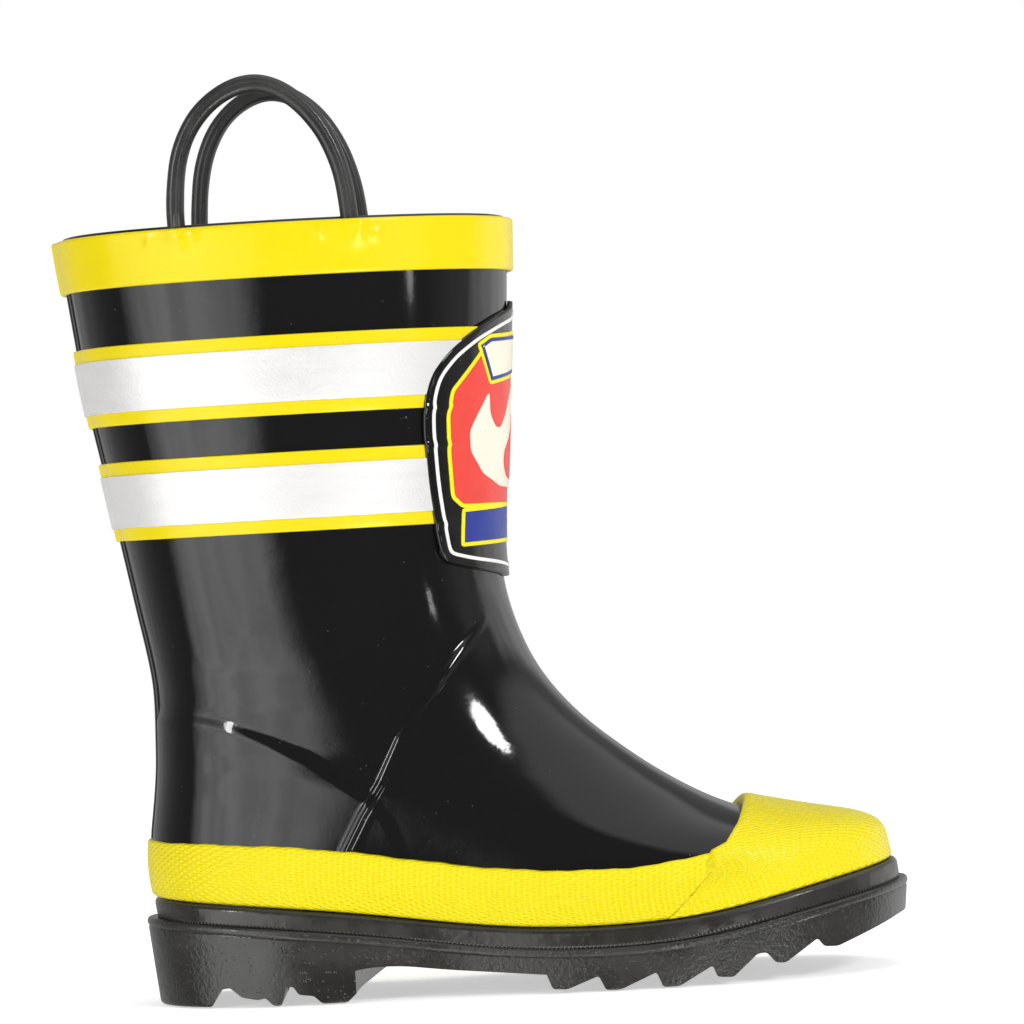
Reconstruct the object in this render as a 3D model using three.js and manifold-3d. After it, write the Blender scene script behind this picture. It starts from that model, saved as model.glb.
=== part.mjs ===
// A child's rubber fire boot for the right foot, standing on its sole.
// Millimetres. +X points to the toe, +Y to the inner side of the foot, +Z up.
// The origin is on the ground, under the middle of the boot's box.
import * as THREE from "three";
import { mergeVertices } from "three/addons/utils/BufferGeometryUtils.js";
import Module from "manifold-3d";

const wasm = await Module();
wasm.setup();

// ---------- driving dimensions ----------
const GAP = 0.3; // left between pieces that are bonded together
const COLUMNS = 24; // steps round each ring of the skin
const RIM = 206.5; // height of the top edge

const UPPER_WALL = 2.6; // rubber of the leg, and of the foot with its inner plies
const FOOT_WALL = 1.2; // rubber of the foot outside its inner plies
const LINING_WALL = 1.0;
const TRIM_WALL = 2.0; // yellow foxing and toe cap
const WELT_WALL = 2.7;
const CUFF_WALL = 1.4;
const BAND_WALL = 0.7;
const TAPE_WALL = 0.4;
const STRIP_WALL = 0.8;
const STRIP_WIDTH = 8;

const CUFF_HEIGHT = 14.5;
const BAND_HEIGHT = 21;
const TAPE_HEIGHT = 14;
const UPPER_BAND_Z = 166; // height of each band's middle
const LOWER_BAND_Z = 135.3;

const WELT_HEIGHT = 5.5; // above the outsole's lip
const FOXING_HEIGHT = 21; // above the outsole's lip
const FEATHER_DROP = 2; // the skin's bottom edge lies this far below the lip
const SPARE_BELOW = 3; // ring 0 lies this far below that edge
const FOOTBED_WALL = 3.5;
const BOARD_WALL = 1.8;
const HANDLE_SECTION = 4.6;
const HANDLE_BACK_X = -74;
const HANDLE_FRONT_X = -28.5;
const HANDLE_Y = 39.5;
const HANDLE_AXIS_Z = 211.7;
const HANDLE_TOP_Z = 242.4;

const WIDE = 140; // reaches past the boot on every side
const TALL = 60; // reaches past the sole
const DEEP = -20; // reaches below the sole

// ---------- the skin: the outer face of the black rubber ----------
// Each key ring is a closed loop round the boot, from a little below the skin's bottom edge up to a little
// past the rim; pieces are cut clean at both.
// back and front are its ends in the middle plane as [x, z]. round holds how full the back and front ends
// are, flare how much wider the front half is, waist the pinch at the arch on the outer and inner side,
// dip how far the ring follows the sole's curve.
const SHAFT = { round: [2.3, 2.2], flare: 0, waist: [0, 0], dip: 0 };
const RINGS = [
  {
    back: [-89.6, 17.6], front: [105.4, 18.0], half: 35.0,
    round: [4.6, 3.8], flare: 0.12, waist: [0.15, 0.26], dip: 1,
  },
  {
    back: [-91.4, 30.0], front: [105.0, 28.0], half: 36.0,
    round: [4.4, 3.8], flare: 0.11, waist: [0.12, 0.2], dip: 1,
  },
  {
    back: [-91.8, 38.0], front: [103.4, 34.2], half: 36.2,
    round: [4.0, 3.6], flare: 0.09, waist: [0.08, 0.13], dip: 0.95,
  },
  {
    back: [-91.5, 45.0], front: [98.3, 39.4], half: 35.9,
    round: [3.6, 3.3], flare: 0.07, waist: [0.05, 0.08], dip: 0.8,
  },
  {
    back: [-90.7, 51.0], front: [83.0, 42.8], half: 35.2,
    round: [3.3, 2.9], flare: 0.06, waist: [0.03, 0.04], dip: 0.55,
  },
  {
    back: [-89.9, 57.0], front: [66.8, 46.3], half: 34.3,
    round: [3.0, 2.5], flare: 0.04, waist: [0.01, 0.02], dip: 0.3,
  },
  {
    back: [-89.3, 63.0], front: [52.3, 51.9], half: 33.3,
    round: [2.8, 2.3], flare: 0.02, waist: [0, 0], dip: 0.12,
  },
  { ...SHAFT, back: [-88.8, 75.0], front: [33.6, 63.7], half: 32.0, round: [2.5, 2.2] },
  { ...SHAFT, back: [-88.9, 86.0], front: [21.2, 75.3], half: 31.6, round: [2.4, 2.2] },
  { ...SHAFT, back: [-90.4, 96.5], front: [13.0, 87.2], half: 32.0 },
  { ...SHAFT, back: [-93.6, 114.0], front: [6.2, 110.5], half: 34.2 },
  { ...SHAFT, back: [-98.6, 142.0], front: [7.5, 141.5], half: 37.6 },
  { ...SHAFT, back: [-102.5, 163.0], front: [9.3, 163.0], half: 39.6 },
  { ...SHAFT, back: [-108.2, RIM], front: [12.3, RIM], half: 42.5 },
  { ...SHAFT, back: [-109.2, 214.0], front: [12.7, 214.0], half: 43.0 },
];

// The key rings where layers of the wall begin and end.
const STRIP_RING = 3; // under the foot of the back strip
const TRIM_RING = 6; // over the toe cap
const PLY_RING = 10; // over the inner plies and the ankle
const BADGE_RING = 9; // under the badge
const CUFF_RING = 12; // under the cuff
const RIM_RING = 13; // level with the rim
const TOP_RING = RINGS.length - 1;

const WAIST_AT = -0.3; // along the foot, from -1 at the heel to 1 at the toe
const WAIST_SPREAD = 0.34;
const TOE_INTURN = 3; // how far the toe bends to the inner side

// The height of the outsole's lip along the boot.
const LIP_CURVE = new THREE.SplineCurve(
  [
    [-100, 23.8],
    [-65, 20.8],
    [-32, 16.9],
    [0, 12.6],
    [28, 11.3],
    [55, 13.0],
    [85, 18.7],
    [112, 23.4],
  ].map(([x, z]) => new THREE.Vector2(x, z)),
);
const LIP_POINTS = LIP_CURVE.getPoints(140);

function lipHeight(x) {
  const next = LIP_POINTS.findIndex((p) => p.x >= x);
  if (next <= 0) return LIP_POINTS[next === 0 ? 0 : LIP_POINTS.length - 1].y;
  const a = LIP_POINTS[next - 1];
  const b = LIP_POINTS[next];
  return THREE.MathUtils.mapLinear(x, a.x, b.x, a.y, b.y);
}

const featherHeight = (x) => lipHeight(x) - FEATHER_DROP; // the skin's bottom edge

// How far the sole's curve hangs below the straight line between the ends of ring 0.
function soleDip(x) {
  const { back, front } = RINGS[0];
  const straight = THREE.MathUtils.mapLinear(x, back[0], front[0], back[1], front[1]);
  return straight - featherHeight(x) + SPARE_BELOW;
}

function ringPoint(ring, column) {
  const angle = (2 * Math.PI * column) / COLUMNS;
  const along = Math.cos(angle); // 1 at the toe end, -1 at the heel end
  const side = Math.sign(Math.sin(angle)) * (column % (COLUMNS / 2) ? 1 : 0);
  const x = THREE.MathUtils.mapLinear(along, -1, 1, ring.back[0], ring.front[0]);
  const fullness = along < 0 ? ring.round[0] : ring.round[1];
  const pinch = ring.waist[side > 0 ? 1 : 0] * Math.exp(-(((along - WAIST_AT) / WAIST_SPREAD) ** 2));
  const half = ring.half * Math.sqrt(1 - Math.abs(along) ** fullness) * (1 + ring.flare * along - pinch);
  const inturn = TOE_INTURN * ring.dip * Math.max(0, along) ** 2;
  const z = THREE.MathUtils.mapLinear(along, -1, 1, ring.back[1], ring.front[1]) - ring.dip * soleDip(x);
  return new THREE.Vector3(x, side * half + inturn, z);
}

const columns = Array.from({ length: COLUMNS }, (_, j) => j);
const skin = RINGS.map((ring) => columns.map((j) => ringPoint(ring, j)));
const skinNormals = skin.map((loop, k) =>
  loop.map((_, j) => {
    const before = loop[(j + COLUMNS - 1) % COLUMNS];
    const after = loop[(j + 1) % COLUMNS];
    const above = skin[Math.min(k + 1, skin.length - 1)][j];
    const below = skin[Math.max(k - 1, 0)][j];
    const round = new THREE.Vector3().subVectors(after, before);
    return round.cross(new THREE.Vector3().subVectors(above, below)).normalize();
  }),
);

// ---------- solids ----------
function solidFrom(positions, triangles) {
  return new wasm.Manifold(
    new wasm.Mesh({
      numProp: 3,
      vertProperties: new Float32Array(positions),
      triVerts: new Uint32Array(triangles),
    }),
  );
}

function solidOf(geometry) {
  const bare = geometry.index ? geometry.toNonIndexed() : geometry.clone();
  bare.deleteAttribute("normal");
  bare.deleteAttribute("uv");
  const merged = mergeVertices(bare, 1e-4);
  return solidFrom(merged.attributes.position.array, merged.index.array);
}

function geometryOf(solid) {
  const { vertProperties, triVerts } = solid.getMesh();
  return new THREE.BufferGeometry()
    .setAttribute("position", new THREE.BufferAttribute(new Float32Array(vertProperties), 3))
    .setIndex(new THREE.BufferAttribute(new Uint32Array(triVerts), 1));
}

// Joins a row of equal loops. The first ones climb the boot. Any after them go back down inside and close
// on the first; without those, the row is capped at both ends.
function loftSolid(climbing, returning = []) {
  const loops = [...climbing, ...returning];
  const size = loops[0].length;
  const positions = loops.flat().flatMap((p) => [p.x, p.y, p.z]);
  const triangles = [];
  const rows = returning.length ? loops.length : loops.length - 1;
  for (let r = 0; r < rows; r += 1) {
    const here = r * size;
    const up = ((r + 1) % loops.length) * size;
    for (let j = 0; j < size; j += 1) {
      const next = (j + 1) % size;
      // each facet pair leans the same way in every layer, and mirrors across the boot
      const leansBack = j < size / 2 !== r >= climbing.length;
      if (leansBack) triangles.push(here + j, here + next, up + j, here + next, up + next, up + j);
      else triangles.push(here + j, here + next, up + next, here + j, up + next, up + j);
    }
  }
  if (!returning.length) addCaps(loops, positions, triangles);
  return solidFrom(positions, triangles);
}

function addCaps(loops, positions, triangles) {
  const size = loops[0].length;
  for (const row of [0, loops.length - 1]) {
    const middle = positions.length / 3;
    const centre = loops[row].reduce((sum, p) => sum.add(p), new THREE.Vector3()).divideScalar(size);
    positions.push(centre.x, centre.y, centre.z);
    for (let j = 0; j < size; j += 1) {
      const edge = [row * size + j, row * size + ((j + 1) % size)];
      triangles.push(middle, ...(row === 0 ? edge.reverse() : edge));
    }
  }
}

// A layer of the boot's wall between two offsets from the skin, over a span of key rings.
// lift(column, ring) stands the layer further off, where it passes over another piece.
function wallLayer(inner, outer, fromRing, toRing, lift = () => 0) {
  const loopAt = (k, offset) =>
    skin[k].map((p, j) => p.clone().addScaledVector(skinNormals[k][j], offset + lift(j, k)));
  const rings = Array.from({ length: toRing - fromRing + 1 }, (_, i) => fromRing + i);
  const outside = rings.map((k) => loopAt(k, outer));
  const inside = rings.map((k) => loopAt(k, inner)).reverse();
  return loftSolid(outside, inside);
}

// The back strip lies under the bands and the cuff, which rise over it.
function overStrip(column) {
  return Math.abs(column - COLUMNS / 2) <= 1 ? STRIP_WALL + GAP : 0;
}

// The foot's plan outline, grown by an offset, at a height.
function soleLoop(offset, z) {
  return skin[0].map((p, j) => {
    const before = skin[0][(j + COLUMNS - 1) % COLUMNS];
    const after = skin[0][(j + 1) % COLUMNS];
    const out = new THREE.Vector2(after.y - before.y, before.x - after.x).normalize();
    return new THREE.Vector3(p.x + offset * out.x, p.y + offset * out.y, z);
  });
}

const solePrism = (offset, low, high) => loftSolid([soleLoop(offset, low), soleLoop(offset, high)]);

function prism(points, toBoot) {
  const shape = new THREE.Shape(points.map(([a, b]) => new THREE.Vector2(a, b)));
  const geometry = new THREE.ExtrudeGeometry(shape, { depth: 2 * WIDE, bevelEnabled: false });
  return solidOf(geometry.translate(0, 0, -WIDE).applyMatrix4(toBoot));
}

const X_AXIS = new THREE.Vector3(1, 0, 0);
const Y_AXIS = new THREE.Vector3(0, 1, 0);
const Z_AXIS = new THREE.Vector3(0, 0, 1);
const SIDE_VIEW = new THREE.Matrix4().makeBasis(X_AXIS, Z_AXIS, Y_AXIS.clone().negate());
const FRONT_VIEW = new THREE.Matrix4().makeBasis(Y_AXIS, Z_AXIS, X_AXIS);
const TOP_VIEW = new THREE.Matrix4();

const sideCut = (points) => prism(points, SIDE_VIEW); // [x, z] outline, right through along Y
const frontCut = (points) => prism(points, FRONT_VIEW); // [y, z] outline, right through along X
const topCut = (points) => prism(points, TOP_VIEW); // [x, y] outline, right through along Z

function boxSolid(low, high) {
  const size = high.map((h, i) => h - low[i]);
  const geometry = new THREE.BoxGeometry(...size);
  return solidOf(geometry.translate(...low.map((l, i) => l + size[i] / 2)));
}

const slab = (low, high) => boxSolid([-WIDE, -WIDE, low], [WIDE, WIDE, high]);

// Points along a height function of x, always at the same places, so that neighbours match.
const STATIONS = Array.from({ length: 25 }, (_, i) => -WIDE + (i * WIDE) / 12);
const curvePoints = (height) => STATIONS.map((x) => [x, height(x)]);

// Everything between two height functions of x.
const betweenHeights = (low, high) => sideCut([...curvePoints(low), ...curvePoints(high).reverse()]);
const betweenX = (from, to) => boxSolid([from, -WIDE, -WIDE], [to, WIDE, 2 * WIDE]);

const boot = new THREE.Group();

function addPiece(name, solid, look) {
  const material = new THREE.MeshStandardMaterial({ metalness: 0, ...look });
  const mesh = new THREE.Mesh(geometryOf(solid), material);
  mesh.name = name;
  boot.add(mesh);
}

const GLOSS_BLACK = { color: 0x0b0b0d, roughness: 0.12 };
const SATIN_BLACK = { color: 0x1a1a1b, roughness: 0.45 };
const YELLOW = { color: 0xf7e400, roughness: 0.35 };
const SILVER = { color: 0xcfcfd2, roughness: 0.45 };
const FABRIC = { color: 0x26262a, roughness: 0.95 };

// ---------- outsole and what lies on it ----------
const SOLE_SPREAD_LOW = 2.8; // outsole beyond ring 0, at the ground
const SOLE_SPREAD_HIGH = 5.0; // and at its full height
const SOLE_SPREAD_FULL_Z = 20;
const TRAY_SPREAD = 1.8; // the recess that the upper stands in, beyond ring 0

// Underside outlines as [x, z], from the heel forward. Each lug has a steep back and a sloped front.
const HEEL_UNDERSIDE = [
  [-WIDE, 0], [-76, 0], [-74, 4.2], [-66.5, 0], [-59, 0], [-57, 4.2], [-48.5, 0], [-36, 0],
];
const TREAD_UNDERSIDE = [
  [11.8, 4.6], [13.2, 0], [17, 0], [25.4, 3.7], [27, 0], [31, 0], [40.6, 3.9], [42, 0], [46, 0],
  [55.6, 4.4], [57, 0], [60.5, 0.9], [70.8, 7.4], [72.4, 3.6], [83.6, 9.6], [85.4, 6.6], [WIDE, 16.5],
];
const ROOT_UNDERSIDE = [
  [-WIDE, 4.2], [-50, 4.2], [-38, 8.8], [-27, 9.0], [-14, 7.2], [11.8, 4.8], [56, 4.5], [71, 7.6],
  [84, 9.8], [WIDE, 20],
];
const HEEL_BREAST_OUTER_X = -38.5;
const HEEL_BREAST_INNER_X = -29;
const CHANNEL_HALF = 5; // the groove between the outer and inner lugs
const CHANNEL_DEPTH = 3.6;

function makeOutsole() {
  const walls = loftSolid([
    soleLoop(SOLE_SPREAD_LOW, 0),
    soleLoop(SOLE_SPREAD_HIGH, SOLE_SPREAD_FULL_Z),
    soleLoop(SOLE_SPREAD_HIGH, SOLE_SPREAD_FULL_Z + 10),
  ]);
  const plate = walls.intersect(sideCut([...ROOT_UNDERSIDE, ...curvePoints(lipHeight).reverse()]));
  const breast = topCut([
    [-WIDE, -WIDE],
    [HEEL_BREAST_OUTER_X - 3, -WIDE],
    [HEEL_BREAST_OUTER_X, -30],
    [HEEL_BREAST_INNER_X, 24],
    [HEEL_BREAST_INNER_X, WIDE],
    [-WIDE, WIDE],
  ]);
  const channel = boxSolid([-70, -CHANNEL_HALF, -1], [78, CHANNEL_HALF, CHANNEL_DEPTH]);
  const heel = walls.intersect(sideCut([...HEEL_UNDERSIDE, [-20, 0], [-20, 12], [-WIDE, 12]]));
  const tread = walls.intersect(sideCut([...TREAD_UNDERSIDE, [WIDE, 25], [86, 12], [60, 8], [11.8, 8]]));
  const lugs = heel.intersect(breast).add(tread).subtract(channel);
  const aboveTray = betweenHeights((x) => featherHeight(x) - GAP, () => TALL);
  const tray = solePrism(TRAY_SPREAD, 0, TALL).intersect(aboveTray);
  return plate.add(lugs).subtract(tray);
}

const POCKET_EDGE = 8.5; // rubber left round the hollows for the fillers
const HEEL_POCKET_FLOOR = 9;
const HEEL_POCKET_SPAN = [-84, -46];
const SPONGE_POCKET_SPAN = [2, 88];
const SPONGE_DEPTH = 2.5;

const underFoot = (below) => betweenHeights(() => 0, (x) => featherHeight(x) - GAP - below);

function heelPocket(shrink) {
  const space = solePrism(-POCKET_EDGE - shrink, HEEL_POCKET_FLOOR + shrink, TALL);
  const [from, to] = HEEL_POCKET_SPAN;
  return space.intersect(underFoot(0)).intersect(betweenX(from + shrink, to - shrink));
}

function spongePocket(shrink) {
  const space = solePrism(-POCKET_EDGE - shrink, 0, TALL).intersect(underFoot(0));
  const [from, to] = SPONGE_POCKET_SPAN;
  return space.subtract(underFoot(SPONGE_DEPTH - shrink)).intersect(betweenX(from + shrink, to - shrink));
}

addPiece("outsole", makeOutsole().subtract(heelPocket(0)).subtract(spongePocket(0)), SATIN_BLACK);
addPiece("heel_filler", heelPocket(GAP), { color: 0x3b3a38, roughness: 0.9 });
addPiece("sponge_filler", spongePocket(GAP), { color: 0x4a4947, roughness: 0.95 });

const plateOn = (offset, low, high) =>
  solePrism(offset, 0, TALL).intersect(
    betweenHeights((x) => featherHeight(x) + low, (x) => featherHeight(x) + high),
  );
const boardOffset = -UPPER_WALL - GAP;
const bedOffset = -UPPER_WALL - LINING_WALL - 3 * GAP;
const boardTop = GAP + BOARD_WALL;
addPiece("insole_board", plateOn(boardOffset, GAP, boardTop), { color: 0xb9a98a, roughness: 0.9 });
addPiece("footbed", plateOn(bedOffset, boardTop + GAP, boardTop + GAP + FOOTBED_WALL), FABRIC);

// ---------- upper, its inner plies and its lining ----------
// The plies' top edge seen from the side: the heel counter's edge, then the vamp ply's edge.
const COUNTER_EDGE = [
  [-WIDE, 80], [-84, 79.3], [-68, 75.8], [-52, 69], [-39, 60.5], [-30, 54.5],
];
const VAMP_EDGE = [[-22.5, 68.5], [-10, 86], [-1, 96.5], [14, 101], [WIDE, 101]];

function pliesBelow(drop, from, to) {
  const edge = [...COUNTER_EDGE, ...VAMP_EDGE].map(([x, z]) => [x, z - drop]);
  const region = sideCut([...edge, [WIDE, DEEP], [-WIDE, DEEP]]);
  return region.intersect(boxSolid([from, -WIDE, DEEP], [to, WIDE, WIDE]));
}

const HANDLE_ROOT_HALF = 4.5;
const HANDLE_ROOT_LOW = 195;
const HANDLE_ROOT_HIGH = 208;
const HANDLE_ROOT_Y = [20, 60]; // spans the leg's side wall
const HANDLE_ROOT_WALL = 1.2;
const STUB_LOW = RIM + GAP;
const STUB_HIGH = HANDLE_AXIS_Z - HANDLE_SECTION / 2 - GAP;

const handleRoots = [
  ["outer_handle_back_end", HANDLE_BACK_X, -1],
  ["outer_handle_front_end", HANDLE_FRONT_X, -1],
  ["inner_handle_back_end", HANDLE_BACK_X, 1],
  ["inner_handle_front_end", HANDLE_FRONT_X, 1],
];

function rootBox(x, side, spare) {
  const half = HANDLE_ROOT_HALF + spare;
  const sides = HANDLE_ROOT_Y.map((y) => y * side).sort((a, b) => a - b);
  return boxSolid([x - half, sides[0], HANDLE_ROOT_LOW - spare], [x + half, sides[1], HANDLE_ROOT_HIGH]);
}

const fromFeather = (above) => betweenHeights((x) => featherHeight(x) + above, () => RIM);
const fullWall = wallLayer(-UPPER_WALL, 0, 0, TOP_RING).intersect(fromFeather(0));
const PAST_WALL = 0.5; // a cut reaches this far out of the wall it goes through
const plyCut = wallLayer(-UPPER_WALL - PAST_WALL, -FOOT_WALL, 0, PLY_RING);
const plySpace = plyCut.intersect(pliesBelow(0, -WIDE, WIDE));
const rootSpace = wallLayer(-HANDLE_ROOT_WALL - GAP, PAST_WALL, CUFF_RING, TOP_RING);
let upper = fullWall.subtract(plySpace);
for (const [, x, side] of handleRoots) upper = upper.subtract(rootSpace.intersect(rootBox(x, side, GAP)));
addPiece("upper", upper, GLOSS_BLACK);

const plyLayer = wallLayer(-UPPER_WALL, -FOOT_WALL - GAP, 0, PLY_RING);
const PLY_SPLIT_X = -31;
const ply = (from, to) => plyLayer.intersect(pliesBelow(GAP * 1.5, from, to)).intersect(fromFeather(0));
addPiece("heel_counter", ply(-WIDE, PLY_SPLIT_X), SATIN_BLACK);
addPiece("vamp_ply", ply(PLY_SPLIT_X + GAP, WIDE), SATIN_BLACK);

const liningOuter = -UPPER_WALL - GAP;
const liningWall = wallLayer(liningOuter - LINING_WALL, liningOuter, 0, TOP_RING);
addPiece("lining", liningWall.intersect(fromFeather(boardTop + GAP)), FABRIC);

// ---------- rubber trim round the foot ----------
const weltBand = betweenHeights((x) => lipHeight(x) + GAP, (x) => lipHeight(x) + WELT_HEIGHT);
addPiece("welt_strip", wallLayer(GAP, GAP + WELT_WALL, 0, TRIM_RING).intersect(weltBand), SATIN_BLACK);

const SEAM = [[43, 10], [46.5, 21], [56, 33.2]]; // where the foxing meets the toe cap
const CAP_EDGE = [[60, 34.2], [64, 39], [67, 45], [68.4, 52]];
const trimLayer = wallLayer(GAP, GAP + TRIM_WALL, 0, TRIM_RING);
const aboveWelt = betweenHeights((x) => lipHeight(x) + WELT_HEIGHT + GAP, () => WIDE);
const foxingTop = curvePoints((x) => lipHeight(x) + FOXING_HEIGHT).filter(([x]) => x < 54).reverse();
const foxingArea = sideCut([[-WIDE, 0], [42, 0], ...SEAM.map(([x, z]) => [x - GAP, z]), ...foxingTop]);
const capArea = sideCut([[43, 0], [WIDE, 0], [WIDE, 80], [69, 60], ...[...SEAM, ...CAP_EDGE].reverse()]);
addPiece("foxing_band", trimLayer.intersect(foxingArea).intersect(aboveWelt), YELLOW);
addPiece("toe_cap", trimLayer.intersect(capArea).intersect(aboveWelt), YELLOW);

// ---------- the badge's outlines ----------
// As [x, z], seen from the side and cut right through, so both halves are alike. Each runs down the back
// edge from the top; the front is open.
const SHIELD = [
  [11.4, 184], [10.7, 181.6], [7.5, 179.6], [1.2, 175.8], [-5.4, 170.6], [-10.3, 164.6], [-12.5, 158],
  [-13.2, 150], [-12.8, 136], [-11.3, 122], [-10.3, 114.6], [-3, 112.4], [7, 110],
];
const FIELD = [
  [10, 175.4], [6.4, 174.1], [3, 171.4], [-5.8, 160], [-7.4, 153], [-7.7, 143], [-7.4, 131.4],
  [-4.8, 128.6], [-5.6, 118.3], [7, 118.9],
];
const PLAQUE = [[10, 178], [3.6, 176], [6.3, 162.6], [10, 163.4]];

const openFront = (edge) => [[WIDE, edge[0][1]], ...edge, [WIDE, edge.at(-1)[1]]];

// A closed outline moved inwards by a distance, or outwards if the distance is negative.
function insetOutline(points, distance) {
  const corners = points.map(([a, b]) => new THREE.Vector2(a, b));
  const turn = Math.sign(THREE.ShapeUtils.area(corners));
  const inward = corners.map((p, i) => {
    const along = new THREE.Vector2().subVectors(corners[(i + 1) % corners.length], p).normalize();
    return new THREE.Vector2(-along.y, along.x).multiplyScalar(turn);
  });
  return corners.map((p, i) => {
    const before = inward[(i + corners.length - 1) % corners.length];
    const miter = new THREE.Vector2().addVectors(before, inward[i]).normalize();
    const moved = p.clone().addScaledVector(miter, distance / Math.max(miter.dot(before), 0.4));
    return [moved.x, moved.y];
  });
}

const shieldCut = (inset) => sideCut(insetOutline(openFront(SHIELD), inset));
const fieldCut = (inset) => sideCut(insetOutline(openFront(FIELD), inset));
const plaqueCut = (inset) => sideCut(insetOutline(openFront(PLAQUE), inset));

// ---------- strip, bands and cuff round the leg ----------
const STRIP_LOW = 46;
const STRIP_HIGH = RIM - 2;
const STRIP_REACH_X = -60; // behind this, the strip's box holds only the boot's back
const stripBox = boxSolid(
  [-WIDE, -STRIP_WIDTH / 2, STRIP_LOW],
  [STRIP_REACH_X, STRIP_WIDTH / 2, STRIP_HIGH],
);
const stripLayer = wallLayer(GAP, GAP + STRIP_WALL, STRIP_RING, RIM_RING);
addPiece("back_strip", stripLayer.intersect(stripBox), GLOSS_BLACK);

for (const [name, middle] of [["upper", UPPER_BAND_Z], ["lower", LOWER_BAND_Z]]) {
  const band = slab(middle - BAND_HEIGHT / 2, middle + BAND_HEIGHT / 2);
  const tape = slab(middle - TAPE_HEIGHT / 2, middle + TAPE_HEIGHT / 2);
  const bandTop = GAP + BAND_WALL;
  const badgeSpace = shieldCut(-GAP);
  addPiece(
    `${name}_band`,
    wallLayer(GAP, bandTop, PLY_RING, RIM_RING, overStrip).intersect(band).subtract(badgeSpace),
    YELLOW,
  );
  addPiece(
    `${name}_reflective_tape`,
    wallLayer(bandTop + GAP, bandTop + GAP + TAPE_WALL, PLY_RING, RIM_RING, overStrip)
      .intersect(tape)
      .subtract(badgeSpace),
    SILVER,
  );
}

const cuffTop = RIM - GAP;
addPiece(
  "top_cuff",
  wallLayer(GAP, GAP + CUFF_WALL, CUFF_RING, RIM_RING, overStrip)
    .intersect(slab(cuffTop - CUFF_HEIGHT, cuffTop)),
  YELLOW,
);

// ---------- badge on the front of the leg ----------
const BADGE_WALL = 1.3;
const INLAY_WALL = 0.4;
const OUTLINE_INSET = 2.2;
const OUTLINE_WIDTH = 1.0;
const KEYLINE_WIDTH = 1.1;
const INLAY_GAP = GAP + 0.1; // round the flame and the plaque
const BAR_TOP = 128.4;
const DIVIDER_TOP = BAR_TOP + 2 * GAP + KEYLINE_WIDTH;
const FIELD_TOP = 171;
const badgeLayer = (low, thick) => wallLayer(GAP + low, GAP + low + thick, BADGE_RING, RIM_RING);
const inlayLayer = badgeLayer(BADGE_WALL + GAP, INLAY_WALL);
const insideKeyline = fieldCut(KEYLINE_WIDTH + GAP);

// A plain flame with three tongues, as [y, z] of one half, from the foot's middle to the tip.
const FLAME = [
  [0, 132.5], [12, 133.3], [19, 137], [23, 143.5], [23.3, 149], [21, 154], [17.5, 159], [16.5, 154],
  [12.5, 150.3], [9, 152.5], [5.5, 156], [0, 160.5],
];
const mirrored = (half) => [...half, ...half.slice(1, -1).map(([y, z]) => [-y, z]).reverse()];
const BADGE_BACK_X = -25; // the flame's cut reaches no further back
const onFront = betweenX(BADGE_BACK_X, WIDE);
const flameCut = (inset) => frontCut(insetOutline(mirrored(FLAME), inset)).intersect(onFront);

const keylineRing = fieldCut(0).subtract(fieldCut(KEYLINE_WIDTH));
const divider = fieldCut(KEYLINE_WIDTH / 2).intersect(slab(BAR_TOP + GAP, BAR_TOP + GAP + KEYLINE_WIDTH));
const fieldArea = insideKeyline
  .intersect(slab(DIVIDER_TOP, FIELD_TOP))
  .subtract(flameCut(-INLAY_GAP))
  .subtract(plaqueCut(-INLAY_GAP));

const WHITE = { color: 0xf4f4f0, roughness: 0.4 };
const CREAM = { color: 0xf3ead2, roughness: 0.4 };
const RED = { color: 0xe0322c, roughness: 0.4 };
const BLUE = { color: 0x2b3da0, roughness: 0.4 };
const outlineRing = shieldCut(OUTLINE_INSET).subtract(shieldCut(OUTLINE_INSET + OUTLINE_WIDTH));
addPiece("badge_base", badgeLayer(0, BADGE_WALL).intersect(shieldCut(0)), GLOSS_BLACK);
addPiece("badge_outline", inlayLayer.intersect(outlineRing), WHITE);
addPiece("badge_keyline", inlayLayer.intersect(keylineRing.add(divider)), YELLOW);
addPiece("badge_field", inlayLayer.intersect(fieldArea), RED);
addPiece("badge_flame", inlayLayer.intersect(flameCut(0)), CREAM);
addPiece("badge_plaque", inlayLayer.intersect(plaqueCut(0)).intersect(insideKeyline), CREAM);
addPiece("badge_bar", inlayLayer.intersect(insideKeyline).intersect(slab(0, BAR_TOP)), BLUE);

// ---------- pull handles ----------
for (const [name, x, side] of handleRoots) {
  const pad = wallLayer(-HANDLE_ROOT_WALL, 0, CUFF_RING, TOP_RING).intersect(rootBox(x, side, 0));
  const radius = HANDLE_SECTION / 2;
  const stub = new THREE.CylinderGeometry(radius, radius, STUB_HIGH - STUB_LOW, 10).rotateX(Math.PI / 2);
  stub.translate(x, side * HANDLE_Y, (STUB_LOW + STUB_HIGH) / 2);
  addPiece(name, pad.add(solidOf(stub)), SATIN_BLACK);
}

const HANDLE_LEG = 6; // the straight part of each leg
const HANDLE_LEG_SHARE = 0.08; // of the path

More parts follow.
